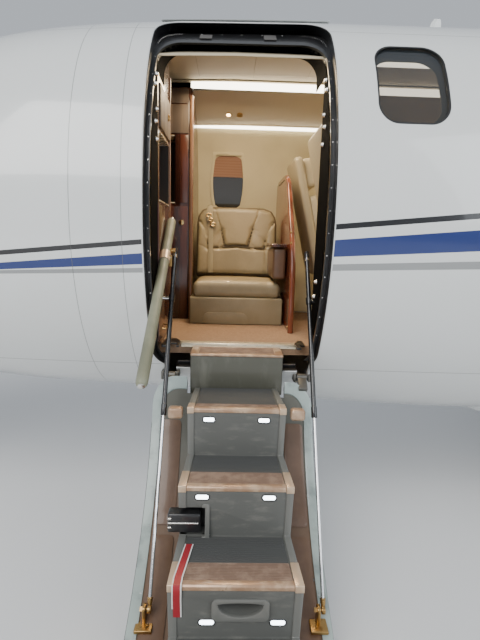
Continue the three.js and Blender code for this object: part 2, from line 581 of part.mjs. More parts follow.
// Entry door: built shut about its hinge, then swung down, with the steps on its inner side.
// u is the distance out to port from the middle of the cabin, so y = -u.
const DOOR_SWING = 125; // degrees from shut to lowered
const DOOR_GAP = RUNNING;
const FRAME_DEPTHS = { outer: DOOR_THICK + 5.3, inner: CABIN_WALL - FIT };
const STEPS = { first: [937, 955], run: 235, rise: 215, count: 4, half: 219, lip: 30, rake: 20 };
const TOP_STEP = { u0: 500, u1: 660, bottom: 920, top: 1118, half: 219, travel: 150 };
const STRUT = {
  x: [-309, 330], top: [500, 1600], eye: [1270, 310], tube: 802, back: 262, rod: 799,
  tubeRadius: 11, rodRadius: 6.5, pin: 6, trunnion: 8,
};
const RAIL = { x: -347, from: [340, 1740], to: [1185, 1130], hingeU: 590, radius: 22, pin: 9 };
const at = (x, [u, z]) => [nearDoor(x), -u, z];

const door = new THREE.Group();
door.position.set(DOOR_X, HINGE.y, HINGE.z);
door.rotation.x = THREE.MathUtils.degToRad(DOOR_SWING);
jet.add(door);
const shutToHinge = (body) => body.translate(-DOOR_X, -HINGE.y, -HINGE.z);
const openToHinge = (body) => shutToHinge(body).rotate(-DOOR_SWING, 0, 0);

const shutPanel = wallLayer(CABIN_RINGS, 0, DOOR_THICK).intersect(doorway(CUTOUT.half - DOOR_GAP,
  CUTOUT.bottom + 12, CUTOUT.top - DOOR_GAP, CUTOUT.radius));
const panelNotch = box(nearDoor(-231), nearDoor(231), -1200, -400, 900, 1100);
const lugs = LUGS.flatMap((x) => [
  bar([nearDoor(x - 24), HINGE.y, HINGE.z], [nearDoor(x + 24), HINGE.y, HINGE.z], 18),
  box(nearDoor(x - 24), nearDoor(x + 24), HINGE.y - 12, HINGE.y + 12, HINGE.z, HINGE.z + 75)]);
const lugBores = LUGS.map((x) => bar([nearDoor(x - 50), HINGE.y, HINGE.z],
  [nearDoor(x + 50), HINGE.y, HINGE.z], boreFor(HINGE.pin)));
const eyeLugs = STRUT.x.flatMap((x) => {
  const s = -1; // each lug stands forward of its strut's eye
  const [u, z] = STRUT.eye;
  const ends = [nearDoor(x + s * 12), nearDoor(x + s * 24)].sort((a, b) => a - b);
  return [box(...ends, -u - 18, -u + 18, z - 60, z + 16),
    bar(at(x - s * 7, STRUT.eye), at(x + s * 20, STRUT.eye), STRUT.pin)];
});
piece("entry_door", join(shutToHinge(cut(join(cut(shutPanel, panelNotch), ...lugs), ...lugBores)),
  ...eyeLugs.map(openToHinge)), "whitePaint", door);

const stair = [];
for (let k = 0; k < STEPS.count; k++) {
  const u = STEPS.first[0] + k * STEPS.run;
  const z = STEPS.first[1] - k * STEPS.rise;
  const back = k ? u - STEPS.run - STEPS.rake : TOP_STEP.u1 + 12;
  stair.push([-back, z], [-u, z], [-u, z - STEPS.lip]);
}
const foot = STEPS.first[0] + (STEPS.count - 1) * STEPS.run - STEPS.rake;
stair.push([-foot, 120], [-TOP_STEP.u1 - 12, 120]);
const stairBlock = extrude(stair, "x", nearDoor(-STEPS.half), nearDoor(STEPS.half));
const insideDoor = shutToHinge(core(CABIN_RINGS, DOOR_THICK + FIT));
piece("airstair_steps", openToHinge(stairBlock).intersect(insideDoor), "darkPlastic", door);

const guideX = [-180, 180];
const GUIDE = { z: 1045, u0: 290, u1: 340, rod: 8 };
piece("top_step", join(
  box(nearDoor(-TOP_STEP.half), nearDoor(TOP_STEP.half), -TOP_STEP.u1, -TOP_STEP.u0,
    TOP_STEP.bottom, TOP_STEP.top),
  ...guideX.map((x) => bar([nearDoor(x), -TOP_STEP.u0 - 20, GUIDE.z],
    [nearDoor(x), -190, GUIDE.z], GUIDE.rod))), "darkPlastic");

const EAR = { x0: 342, x1: CUTOUT.middle + CLEAR_HALF + 2 };
const strutLine = new THREE.Vector2(STRUT.eye[0] - STRUT.top[0], STRUT.eye[1] - STRUT.top[1]).normalize();
const alongStrut = (start, distance) =>
  [start[0] + strutLine.x * distance, start[1] + strutLine.y * distance];
const trunnion = alongStrut(STRUT.top, STRUT.back);
const frameRing = cut(doorway(CUTOUT.half - FIT, CUTOUT.bottom + FIT, CUTOUT.top - FIT, CUTOUT.radius),
  doorway(CLEAR_HALF, 800, CLEAR_TOP, CUTOUT.radius - 10))
  .intersect(wallLayer(CABIN_RINGS, FRAME_DEPTHS.outer, FRAME_DEPTHS.inner));
const ear = cut(box(nearDoor(EAR.x0), nearDoor(EAR.x1), -752, -trunnion[0] + 22,
  trunnion[1] - 24, trunnion[1] + 24), bar(at(300, trunnion), at(400, trunnion), boreFor(STRUT.trunnion)));
piece("door_frame", join(frameRing, ear), "blackTrim");

for (const [sideName, x] of [["forward", STRUT.x[0]], ["aft", STRUT.x[1]]]) {
  const s = Math.sign(x);
  const end = alongStrut(STRUT.top, STRUT.tube);
  const tube = cut(join(bar(at(x, STRUT.top), at(x, end), STRUT.tubeRadius),
    bar(at(x + s * 9, trunnion), at(s > 0 ? EAR.x1 - 2 : -386, trunnion), STRUT.trunnion)),
  bar(at(x, alongStrut(STRUT.top, -5)), at(x, alongStrut(end, 5)), STRUT.rodRadius + FIT));
  piece(`strut_tube_${sideName}`, tube, "blackTrim");
  const rod = join(bar(at(x, alongStrut(STRUT.eye, -STRUT.rod)), at(x, alongStrut(STRUT.eye, -9)),
    STRUT.rodRadius), bar(at(x - 7, STRUT.eye), at(x + 7, STRUT.eye), 15));
  piece(`strut_rod_${sideName}`, cut(rod, bar(at(x - 20, STRUT.eye), at(x + 20, STRUT.eye),
    boreFor(STRUT.pin))), "brightMetal");
}

const railShare = (RAIL.hingeU - RAIL.from[0]) / (RAIL.to[0] - RAIL.from[0]);
const railHinge = [RAIL.hingeU, RAIL.from[1] + railShare * (RAIL.to[1] - RAIL.from[1])];
piece("handrail", cut(bar(at(RAIL.x, RAIL.from), at(RAIL.x, RAIL.to), RAIL.radius),
  bar(at(RAIL.x - 50, railHinge), at(RAIL.x + 50, railHinge), boreFor(RAIL.pin))), "padding");

// Floor, lower in the cockpit, with a recess and two guides for the top step
const crewRoom = core(COCKPIT_RINGS, COCKPIT_WALL + FIT, 0);
const CREW_FLOOR = 1085;
const crewSlab = box(NOSE_END + FIT, COCKPIT_END + 5, -900, 900, CREW_FLOOR - FLOOR_THICK, CREW_FLOOR);
const roomCore = core(CABIN_RINGS, CABIN_WALL + FIT, 0);
const FLOOR_END = 1640;
const floorSlab = box(COCKPIT_END + FIT, FLOOR_END, -900, 900, FLOOR_TOP - FLOOR_THICK, FLOOR_TOP);
const guides = guideX.map((x) => box(nearDoor(x - 16), nearDoor(x + 16), -GUIDE.u1, -GUIDE.u0,
  GUIDE.z - 18, FLOOR_TOP - FLOOR_THICK + 2));
const guideBores = guideX.map((x) => bar([nearDoor(x), -GUIDE.u1 - 20, GUIDE.z],
  [nearDoor(x), -GUIDE.u0 + 20, GUIDE.z], GUIDE.rod + FIT));
piece("floor", cut(join(crewSlab.intersect(join(crewRoom, roomCore)), cut(floorSlab.intersect(roomCore),
  box(nearDoor(-378), nearDoor(378), -900, -TOP_STEP.u0, 1000, 1200),
  box(nearDoor(-STEP_SLOT.half), nearDoor(STEP_SLOT.half), -900, -TOP_STEP.u0 + TOP_STEP.travel + 5,
    1000, TOP_STEP.top + 7)), ...guides), ...guideBores), "carpet");

// Forward cabinets each side of the aisle; the port one carries the handrail
const CABINET = { x0: COCKPIT_END + 5, x1: DOOR_X - 378, starboardX1: DOOR_X - 290, aisle: 210, top: 2500 };
const stubHole = bar(at(-391, trunnion), at(-340, trunnion), boreFor(STRUT.trunnion));
const railPin = bar(at(-385, railHinge), at(RAIL.x + 18, railHinge), RAIL.pin);
const cabinet = (x1, y0, y1) => box(CABINET.x0, x1, y0, y1, FLOOR_TOP + FIT, CABINET.top)
  .intersect(roomCore);
piece("forward_cabinet_port",
  join(cut(cabinet(CABINET.x1, -900, -CABINET.aisle), stubHole), railPin), "wood");
piece("forward_cabinet_starboard", cabinet(CABINET.starboardX1, CABINET.aisle, 900), "wood");

// Side-facing seat opposite the door
const SEAT = {
  x: -3868, half: 289, cushionHalf: 286, front: 35, back: 445, baseTop: 1290, cushionTop: 1400,
};
piece("side_seat_base", box(SEAT.x - SEAT.half, SEAT.x + SEAT.half, SEAT.front, SEAT.back,
  FLOOR_TOP + FIT, SEAT.baseTop).intersect(roomCore), "leather");
piece("side_seat_cushion", box(SEAT.x - SEAT.cushionHalf, SEAT.x + SEAT.cushionHalf, SEAT.front - 10, 505,
  SEAT.baseTop + FIT, SEAT.cushionTop), "leather");
piece("side_seat_back", extrude([[435, SEAT.cushionTop + FIT], [565, SEAT.cushionTop + FIT],
  [630, 1880], [530, 1890]], "x", SEAT.x - SEAT.cushionHalf, SEAT.x + SEAT.cushionHalf), "leather");
const partitionEdge = new THREE.Shape();
partitionEdge.moveTo(-190, FLOOR_TOP + FIT);
partitionEdge.lineTo(900, FLOOR_TOP + FIT);
partitionEdge.lineTo(900, 2063);
partitionEdge.lineTo(-40, 2063);
partitionEdge.absarc(-40, 1913, 150, Math.PI / 2, Math.PI);
piece("cabin_partition",
  extrude(partitionEdge, "x", nearDoor(300), nearDoor(325)).intersect(roomCore), "wood");

// Passenger seats, in facing pairs, and the crew's
const SEAT_SIDE = [[0, 1340], [0, 1450], [430, 1440], [620, 2210], [735, 2200], [560, 1340]];
function seatSolid(x, y, facingForward, half, floor, drop = 0) {
  const turn = facingForward ? 1 : -1;
  const profile = SEAT_SIDE.map(([a, z]) => [x + turn * (a - 300), z - drop]);
  return join(extrude(profile, "y", y - half, y + half),
    box(x - 190, x + 190, y - half + 60, y + half - 60, floor + FIT, 1342 - drop));
}
const CLUB = [[-3090, false], [-1650, true]];
for (const [k, [x, forward]] of CLUB.entries()) {
  for (const [sideName, s] of [["port", -1], ["starboard", 1]]) {
    piece(`club_seat_${k ? "aft" : "forward"}_${sideName}`,
      seatSolid(x, s * 420, forward, 235, FLOOR_TOP), "leather");
  }
}
for (const [sideName, s] of [["port", -1], ["starboard", 1]]) {
  piece("crew_seat_" + sideName, seatSolid(-5060, s * 310, true, 220, CREW_FLOOR, 40)
    .intersect(crewRoom), "leather");
}
piece("instrument_panel", extrude([[-5850, 1640], [-5560, 1640], [-5520, 1900], [-5560, 1930], [-5850, 1930]],
  "y", -900, 900).intersect(crewRoom), "blackTrim");
piece("aft_bulkhead",
  box(FLOOR_END + FIT, FLOOR_END + 40, -1000, 1000, 600, 2900).intersect(roomCore), "wood");

export default jet;
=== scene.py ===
# A light twin-engine business jet on its gear, with the entry airstair lowered beside the port side.
# Metres. +X runs aft, +Y to starboard, +Z up. The floor is z = 0.
import bpy, bmesh, math
from mathutils import Matrix, Vector


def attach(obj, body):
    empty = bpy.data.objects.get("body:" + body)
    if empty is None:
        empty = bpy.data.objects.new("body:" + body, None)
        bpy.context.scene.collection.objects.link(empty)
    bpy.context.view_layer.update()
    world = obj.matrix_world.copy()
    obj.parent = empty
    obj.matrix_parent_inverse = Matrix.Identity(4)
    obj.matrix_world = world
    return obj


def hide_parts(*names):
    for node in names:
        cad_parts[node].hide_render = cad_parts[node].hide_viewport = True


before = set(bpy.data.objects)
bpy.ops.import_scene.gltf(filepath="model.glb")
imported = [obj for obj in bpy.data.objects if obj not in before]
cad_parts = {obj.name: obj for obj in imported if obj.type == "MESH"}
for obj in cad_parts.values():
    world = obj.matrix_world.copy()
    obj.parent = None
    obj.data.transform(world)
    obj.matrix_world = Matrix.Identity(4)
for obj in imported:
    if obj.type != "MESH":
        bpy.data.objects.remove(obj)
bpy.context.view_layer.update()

# The view: a camera at head height, close in front of the lowered stair and looking slightly
# down through the doorway, over a plain pale floor with a soft sky and large soft lights.
DOOR_X = -3.87
CAMERA = {"place": (-3.918, -2.707, 1.642), "pitch": 9.95, "yaw": -1.61, "roll": 1.62, "pixels": 448.2}
IMAGE_HEIGHT = 640


def linked(name, data):
    """A new object in the scene."""
    made = bpy.data.objects.new(name, data)
    bpy.context.scene.collection.objects.link(made)
    return made


def area_light(name, place, width, height, power, colour):
    data = bpy.data.lights.new(name, "AREA")
    data.shape, data.size, data.size_y = "RECTANGLE", width, height
    data.energy, data.color = power, colour
    light = linked(name, data)
    light.location = place
    return light


camera_data = bpy.data.cameras.new("photo_camera")
camera_data.lens = CAMERA["pixels"] / IMAGE_HEIGHT * camera_data.sensor_width
camera_data.clip_end = 200
camera = linked("photo_camera", camera_data)
bpy.context.scene.camera = camera
camera.location = CAMERA["place"]
camera.rotation_euler = (Matrix.Rotation(math.radians(CAMERA["yaw"]), 3, "Z")
                         @ Matrix.Rotation(math.radians(90 - CAMERA["pitch"]), 3, "X")
                         @ Matrix.Rotation(math.radians(CAMERA["roll"]), 3, "Z")).to_euler()

bpy.ops.mesh.primitive_plane_add(size=80)
ground = bpy.context.object
ground.name = "studio_floor"

world = bpy.data.worlds.new("soft_sky")
bpy.context.scene.world = world
world.use_nodes = True
world.node_tree.nodes["Background"].inputs["Color"].default_value = (0.86, 0.92, 1.0, 1)
world.node_tree.nodes["Background"].inputs["Strength"].default_value = 0.6
for name, place, size, power, colour in (
        ("key_light", (-9, -10, 9), 8, 1300, (1, 0.98, 0.95)),
        ("fill_light", (5, -9, 6), 8, 600, (0.9, 0.95, 1))):
    light = area_light(name, place, size, size, power, colour)
    light.rotation_euler = (Vector((DOOR_X, 0, 1.5)) - Vector(place)).to_track_quat("-Z", "Y").to_euler()

# Fuselage skins: riveted aluminium shells, filled, painted gloss white and striped. Each one is
# lofted through the frame stations, with its doorway and windows sawn out of it, and its
# shading follows the true curve of the skin.
STATIONS = [  # x, half width, top, bottom, height of the widest line
    (-7.82, 0.014, 1.384, 1.356, 1.37), (-7.74, 0.15, 1.52, 1.235, 1.365), (-7.5, 0.3, 1.66, 1.13, 1.37),
    (-7.0, 0.47, 1.84, 0.99, 1.4), (-6.4, 0.61, 2.01, 0.885, 1.46), (-5.9, 0.705, 2.14, 0.855, 1.53),
    (-5.5, 0.765, 2.4, 0.845, 1.61), (-5.2, 0.806, 2.58, 0.838, 1.67), (-4.9, 0.838, 2.662, 0.812, 1.705),
    (-4.6, 0.86, 2.7, 0.798, 1.728), (-4.3, 0.872, 2.722, 0.784, 1.742), (-3.87, 0.88, 2.736, 0.76, 1.75),
    (-3.4, 0.885, 2.746, 0.718, 1.752), (-2.5, 0.888, 2.75, 0.685, 1.752),
    (1.0, 0.888, 2.75, 0.685, 1.752),
    (2.0, 0.875, 2.748, 0.795, 1.765), (3.0, 0.8, 2.74, 0.99, 1.84), (4.0, 0.66, 2.69, 1.29, 1.96),
    (5.0, 0.48, 2.6, 1.64, 2.1), (5.8, 0.3, 2.5, 1.92, 2.2), (6.6, 0.09, 2.37, 2.18, 2.275)]
FULLNESS = 2.2  # of the upper half, where 2 would make an ellipse
SKIN_SIDES = 96
SKIN_STEP = 0.1


def station(x):
    last = len(STATIONS) - 1
    k = 0
    while k < last - 1 and x > STATIONS[k + 1][0]:
        k += 1
    a, b = STATIONS[k], STATIONS[k + 1]
    span = b[0] - a[0]
    t = (x - a[0]) / span

    def slope(i, c):
        if i <= 0 or i >= last:
            i = min(max(i, 1), last)
            return (STATIONS[i][c] - STATIONS[i - 1][c]) / (STATIONS[i][0] - STATIONS[i - 1][0])
        before = (STATIONS[i][c] - STATIONS[i - 1][c]) / (STATIONS[i][0] - STATIONS[i - 1][0])
        after = (STATIONS[i + 1][c] - STATIONS[i][c]) / (STATIONS[i + 1][0] - STATIONS[i][0])
        return 2 * before * after / (before + after) if before * after > 0 else 0

    rise = 3 * t * t - 2 * t ** 3
    return [a[c] * (1 - rise) + b[c] * rise + span * (slope(k, c) * (t - 2 * t * t + t ** 3)
            + slope(k + 1, c) * (t ** 3 - t * t)) for c in (1, 2, 3, 4)]


def skin_point(x, angle, inset=0.0):
    wide, top, bottom, middle = station(x)
    across, up = math.cos(angle), math.sin(angle)
    power = 2 / FULLNESS if up > 0 else 1
    height = (top - middle if up > 0 else middle - bottom) - inset
    return Vector((x, math.copysign(abs(across) ** power, across) * (wide - inset),
                   middle + math.copysign(abs(up) ** power, up) * height))


def skin_depth(x, y, z):
    wide, top, bottom, middle = station(x)
    power = FULLNESS if z > middle else 2
    height = top - middle if z > middle else middle - bottom
    return abs(y / wide) ** power + abs((z - middle) / height) ** power


def skin_normal(p):
    nudge = 0.002
    steps = [(nudge, 0, 0), (0, nudge, 0), (0, 0, nudge)]
    return Vector([skin_depth(p.x + a, p.y + b, p.z + c) - skin_depth(p.x - a, p.y - b, p.z - c)
                   for a, b, c in steps]).normalized()


def skin_out(x, z, inset=0.0):
    """How far from the middle the skin is at this height."""
    wide, top, bottom, middle = station(x)
    power = FULLNESS if z > middle else 2
    height = (top - middle if z > middle else middle - bottom) - inset
    return (wide - inset) * max(0.0, 1 - abs((z - middle) / height) ** power) ** (1 / power)


def add_piece(name, points, faces):
    mesh = bpy.data.meshes.new(name)
    mesh.from_pydata([tuple(p) for p in points], [], faces)
    mesh.validate()
    return linked(name, mesh)


def loft(name, rings, caps=True):
    """A skin through rings of points."""
    count = len(rings[0])
    faces = [(r * count + i, r * count + (i + 1) % count, (r + 1) * count + (i + 1) % count,
              (r + 1) * count + i) for r in range(len(rings) - 1) for i in range(count)]
    if caps:
        last = (len(rings) - 1) * count
        faces += [tuple(range(count))[::-1], tuple(range(last, last + count))]
    piece = add_piece(name, [p for ring in rings for p in ring], faces)
    face_out(piece)
    return piece


def face_out(piece):
    shape = bmesh.new()
    shape.from_mesh(piece.data)
    bmesh.ops.remove_doubles(shape, verts=shape.verts, dist=1e-6)
    bmesh.ops.recalc_face_normals(shape, faces=shape.faces)
    shape.to_mesh(piece.data)
    shape.free()


def steps_between(start, end, step):
    count = max(1, round(abs(end - start) / step))
    return [start + (end - start) * k / count for k in range(count + 1)]


def skin_tube(name, x0, x1, outer, inner, step=SKIN_STEP):
    """A shell of the fuselage wall between two depths under the skin, open at both ends, or
    where `inner` is None all that is inside the outer depth."""
    xs = steps_between(x0, x1, step)
    angles = [2 * math.pi * k / SKIN_SIDES for k in range(SKIN_SIDES)]
    outside = [[skin_point(x, a, outer) for a in angles] for x in xs]
    if inner is None:
        return loft(name, outside)
    inside = [[skin_point(x, a, inner) for a in angles] for x in reversed(xs)]
    return loft(name, outside + inside + outside[:1], caps=False)


def rounded_outline(a0, a1, b0, b1, radius, steps=12):
    corners = [(a1 - radius, b1 - radius, 0), (a0 + radius, b1 - radius, 90),
               (a0 + radius, b0 + radius, 180), (a1 - radius, b0 + radius, 270)]
    return [(a + radius * math.cos(math.radians(turn + 90 * k / steps)),
             b + radius * math.sin(math.radians(turn + 90 * k / steps)))
            for a, b, turn in corners for k in range(steps + 1)]


def prism(name, outline, axis, start, end):
    """An outline pushed along one axis; for x the outline is (y, z), for y (x, z), for z (x, y)."""
    spot = {"x": lambda a, b, c: (c, a, b), "y": lambda a, b, c: (a, c, b), "z": lambda a, b,
            c: (a, b, c)}[axis]
    return loft(name, [[spot(a, b, c) for a, b in outline] for c in (start, end)])


def carve(piece, tools, operation="DIFFERENCE"):
    """Cuts the tools out of a piece, or keeps what is inside them, and throws the tools away."""
    for tool in tools:
        saw = piece.modifiers.new("saw", "BOOLEAN")
        saw.operation, saw.object, saw.solver = operation, tool, "EXACT"
    bake(piece)
    for tool in tools:
        bpy.data.objects.remove(tool)


def bake(piece):
    """The modifiers become part of the mesh."""
    bpy.context.view_layer.update()
    evaluated = piece.evaluated_get(bpy.context.evaluated_depsgraph_get())
    finished = bpy.data.meshes.new_from_object(evaluated)
    piece.modifiers.clear()
    piece.data = finished


def shade_as_skin(piece):
    """Shading normals from the true curve of the skin, with flat ones on every sawn edge."""
    mesh = piece.data
    curve = [skin_normal(v.co) for v in mesh.vertices]
    normals = []
    for face in mesh.polygons:
        face.use_smooth = True
        for v in face.vertices:
            lean = curve[v].dot(face.normal)
            normals.append(curve[v] * math.copysign(1, lean) if abs(lean) > 0.93 else face.normal)
    mesh.normals_split_custom_set(normals)


def soften(piece, angle=35):
    piece.data.polygons.foreach_set("use_smooth", [True] * len(piece.data.polygons))
    piece.data.set_sharp_from_angle(angle=math.radians(angle))


class Level:
    """A number in a finish, which varies over the surface. Sums with it add Math nodes."""

    def __init__(self, finish, socket):
        self.finish, self.socket = finish, socket

    def math(self, operation, *values):
        return self.finish.level("ShaderNodeMath", {"operation": operation}, *values)

    def __add__(self, other): return self.math("ADD", self, other)
    def __radd__(self, other): return self.math("ADD", other, self)
    def __sub__(self, other): return self.math("SUBTRACT", self, other)
    def __rsub__(self, other): return self.math("SUBTRACT", other, self)
    def __mul__(self, other): return self.math("MULTIPLY", self, other)
    def __rmul__(self, other): return self.math("MULTIPLY", other, self)
    def __truediv__(self, other): return self.math("DIVIDE", self, other)
    def __abs__(self): return self.math("ABSOLUTE", self)
    def __gt__(self, other): return self.math("GREATER_THAN", self, other)
    def __lt__(self, other): return self.math("LESS_THAN", self, other)
    def sine(self): return self.math("SINE", self)
    def wrap(self, length): return self.math("WRAP", self, length, 0)
    def top(self, other): return self.math("MAXIMUM", self, other)

    def line(self, at, width):
        """1 within a thin line where this number equals `at`."""
        return abs(self - at) < width / 2

    def ease(self, low, high):
        """0 below low, 1 above high, and smooth between."""
        return self.finish.level("ShaderNodeMapRange", {"interpolation_type": "SMOOTHSTEP"}, self, low,
                                 high)


class Finish:
    """A material: a Principled shader whose sockets are set once, and the nodes that feed it.
    `grain` raises it by a noise of (scale, detail, height in metres), `wear` varies how rough it
    is by a noise of (scale, detail, how much, least), and `cloud` mixes two colours by a noise
    of (scale, detail, from, to, first, second)."""

    def __init__(self, name, colour, rough, grain=None, wear=None, cloud=None, **sockets):
        self.material = bpy.data.materials.new(name)
        self.material.use_nodes = True
        self.tree = self.material.node_tree
        self.shader = self.tree.nodes["Principled BSDF"]
        self.set({"Base Color": colour, "Roughness": rough})
        self.set({key.replace("_", " ").title().replace("Ior", "IOR"): value for key,
                  value in sockets.items()})
        if cloud:
            scale, detail, low, high, first, second = cloud
            share = self.noise(scale, detail).ease(low, high)
            self.set({"Base Color": self.mix(share, first, second)})
        if wear:
            scale, detail, much, least = wear
            self.set({"Roughness": self.noise(scale, detail) * much + least})
        if grain:
            self.bump(self.noise(*grain[:2]), grain[2])

    def set(self, sockets):
        for key, value in sockets.items():
            self.feed(self.shader.inputs[key], value)

    def feed(self, socket, value):
        if isinstance(value, Level):
            value = value.socket
        if isinstance(value, bpy.types.NodeSocket):
            self.tree.links.new(value, socket)
        elif socket.type == "RGBA":
            socket.default_value = (*value[:3], 1)
        else:
            socket.default_value = value

    def node(self, kind, settings, *values, **named):
        node = self.tree.nodes.new(kind)
        for key, value in settings.items():
            if key == "stops":
                while len(node.color_ramp.elements) < len(value):
                    node.color_ramp.elements.new(0.5)
                for element, (place, colour) in zip(node.color_ramp.elements, value):
                    element.position, element.color = place, (*colour, 1)
            else:
                setattr(node, key, value)
        for socket, value in zip([s for s in node.inputs if s.enabled], values):
            self.feed(socket, value)
        for key, value in named.items():
            self.feed(node.inputs[key], value)
        return node

    def level(self, kind, settings, *values, **named):
        return Level(self, next(s for s in self.node(kind, settings, *values, **named).outputs
                                if s.enabled))

    def place(self, home=None):
        spot = self.node("ShaderNodeTexCoord", {}).outputs["Object"]
        if home:
            spot = self.node("ShaderNodeAttribute", {"attribute_name": home}).outputs["Vector"]
        return [Level(self, s) for s in self.node("ShaderNodeSeparateXYZ", {}, spot).outputs]

    def spot(self, scale=(1, 1, 1), turn=(0, 0, 0)):
        """Object coordinates, stretched by `scale`."""
        where = self.node("ShaderNodeTexCoord", {}).outputs["Object"]
        return self.node("ShaderNodeMapping", {}, Vector=where, Rotation=turn, Scale=scale).outputs[0]

    def noise(self, scale, detail=3, rough=0.5, stretch=(1, 1, 1)):
        return Level(self, self.node("ShaderNodeTexNoise", {}, Vector=self.spot(stretch), Scale=scale,
                                     Detail=detail, Roughness=rough).outputs[0])

    def mix(self, share, first, second):
        node = self.tree.nodes.new("ShaderNodeMix")
        node.data_type = "RGBA"
        sockets = [s for s in node.inputs if s.enabled]
        for socket, value in zip(sockets, (share, first, second)):
            self.feed(socket, value)
        return next(s for s in node.outputs if s.enabled)

    def bump(self, height, depth):
        """Raises the surface by `depth` metres where the height is 1."""
        normal = self.node("ShaderNodeBump", {}, Strength=1.0, Distance=depth, Height=height)
        self.feed(self.shader.inputs["Normal"], normal.outputs[0])


def give(piece, finish, body="airframe", replaces=()):
    """Paints a piece, and fixes it to the body that it moves with."""
    piece.data.materials.clear()
    piece.data.materials.append(finish.material)
    if replaces:
        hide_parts(*replaces)
    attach(piece, body)
    return piece


WHITE, STRIPE_BLACK = (0.74, 0.76, 0.75), (0.012, 0.012, 0.014)
STRIPE_BLUE, STRIPE_GREY = (0.012, 0.03, 0.16), (0.3, 0.31, 0.31)
STRIPE_X = -3.49  # the stripes' heights are given here, with their rise per metre
STRIPES = [  # lower edge and its rise, upper edge and its rise, colour
    (1.699, 0.102, 1.721, 0.104, STRIPE_BLACK),
    (1.590, 0.0655, 1.658, 0.0945, STRIPE_BLUE),
    (1.533, 0.037, 1.560, 0.046, STRIPE_GREY)]
STRIPE_START = (-7.1, -5.6)  # the stripes thin out to nothing towards the nose
PANEL_SEAMS = [-6.98, -5.99, -4.56, -4.352, -2.4, -0.7, 1.9, 3.4, 5.0]
STRINGER_SEAMS = [1.05, 2.56]
SEAM_WIDTH = 0.0028


def gloss_paint(name, stripes=False, seams=(), home=None, chord=None, bright=None):
    """Aircraft enamel: glossy, faintly uneven, with a little grime. `home` names an attribute
    that holds where each point is while its panel is shut, `chord` gives how far back along a
    wing each point is, for its seams and bright leading edge, and `bright` marks bare metal."""
    paint = Finish(name, WHITE, 0.2, coat_weight=0.6, coat_roughness=0.04)
    x, y, z = paint.place(home)
    cloud = paint.noise(1.7, 4)
    colour = paint.mix(cloud.ease(0.35, 0.75) * 0.35, WHITE, (0.68, 0.69, 0.665))
    if stripes:
        grow = x.ease(*STRIPE_START)
        for low, low_rise, high, high_rise, tint in STRIPES:
            bottom = (x - STRIPE_X) * low_rise + low
            top = (x - STRIPE_X) * high_rise + high
            half = (top - bottom) * grow / 2
            colour = paint.mix(abs(z - (top + bottom) / 2) < half, colour, tint)
    seam = None
    for axis, places in seams:
        number = {"x": x, "y": y, "z": z}[axis]
        for at in places:
            line = number.line(at, SEAM_WIDTH)
            seam = line if seam is None else seam.top(line)
    if chord:
        share = chord(x, y, z)
        for at in (0.14, 0.62):
            seam = seam.top(share.line(at, 0.0022))
        bright = lambda x, y, z: share < 0.035
    if seam is not None:
        colour = paint.mix(seam * 0.6, colour, (0.12, 0.125, 0.12))
    if bright:
        bare = bright(x, y, z)
        colour = paint.mix(bare, colour, (0.62, 0.63, 0.64))
        paint.set({"Metallic": bare})
    paint.set({"Base Color": colour, "Roughness": paint.noise(9, 4) * 0.1 + 0.15})
    ripple = paint.noise(2.2, 1)
    paint.bump(ripple if seam is None else ripple - seam * 0.35, 0.0012)
    return paint


skin_paint = gloss_paint("striped_white_paint", True, (("x", PANEL_SEAMS), ("z", STRINGER_SEAMS)))

CUTOUT = {"middle": -0.012, "half": 0.386, "bottom": 1.03, "top": 2.635, "radius": 0.11}
STEP_SLOT = {"half": 0.225, "bottom": 0.905}
WINDOW = {"half": 0.147, "bottom": 2.118, "top": 2.475, "radius": 0.085}
PORT_WINDOWS = [-3.19 + 0.84 * k for k in range(5)]
STARBOARD_WINDOWS = [-3.99] + PORT_WINDOWS
WINDOW_ROWS = {"port": (PORT_WINDOWS, (-1.2, -0.35)), "starboard": (STARBOARD_WINDOWS, (0.35, 1.2))}
SKIN_THICK = 0.024
HINGE_DX = [-0.32, 0.32]


def door_outline(half, bottom, top, radius):
    middle = DOOR_X + CUTOUT["middle"]
    return rounded_outline(middle - half, middle + half, bottom, top, radius)


def box_tool(x0, x1, y0, y1, z0, z1):
    return prism("saw", [(x0, y0), (x1, y0), (x1, y1), (x0, y1)], "z", z0, z1)


def window_saws(side, grow=0.0):
    centres, span = WINDOW_ROWS[side]
    return [prism("saw", rounded_outline(x - WINDOW["half"] - grow, x + WINDOW["half"] + grow,
                                         WINDOW["bottom"] - grow, WINDOW["top"] + grow,
                                         WINDOW["radius"] + grow), "y", *span) for x in centres]


def doorway_saw(shrink, round_by=CUTOUT["radius"], front=-1.0):
    """What is inside the doorway's edge, less `shrink`."""
    outline = door_outline(CUTOUT["half"] - shrink, CUTOUT["bottom"] + shrink, CUTOUT["top"] - shrink,
                           round_by)
    return prism("saw", outline, "y", front, -0.1)


def hinge_slots(y0, y1, z0, z1):
    return [box_tool(DOOR_X + dx - 0.028, DOOR_X + dx + 0.028, y0, y1, z0, z1) for dx in HINGE_DX]


def door_tube(name, outer, inner):
    """A layer of the fuselage wall around the door."""
    return skin_tube(name, DOOR_X - 0.45, DOOR_X + 0.45, outer, inner, SKIN_STEP / 2)


cabin_skin = skin_tube("cabin_skin", -4.56, 1.9, 0, SKIN_THICK)
carve(cabin_skin, [doorway_saw(0, front=-1.2),
                   box_tool(DOOR_X - STEP_SLOT["half"], DOOR_X + STEP_SLOT["half"], -1.2, -0.3,
                            STEP_SLOT["bottom"], 1.2),
                   *hinge_slots(-1.2, -0.5, 0.95, 1.1), *window_saws("port"), *window_saws("starboard")])
shade_as_skin(cabin_skin)
give(cabin_skin, skin_paint, replaces=["cabin_shell"])

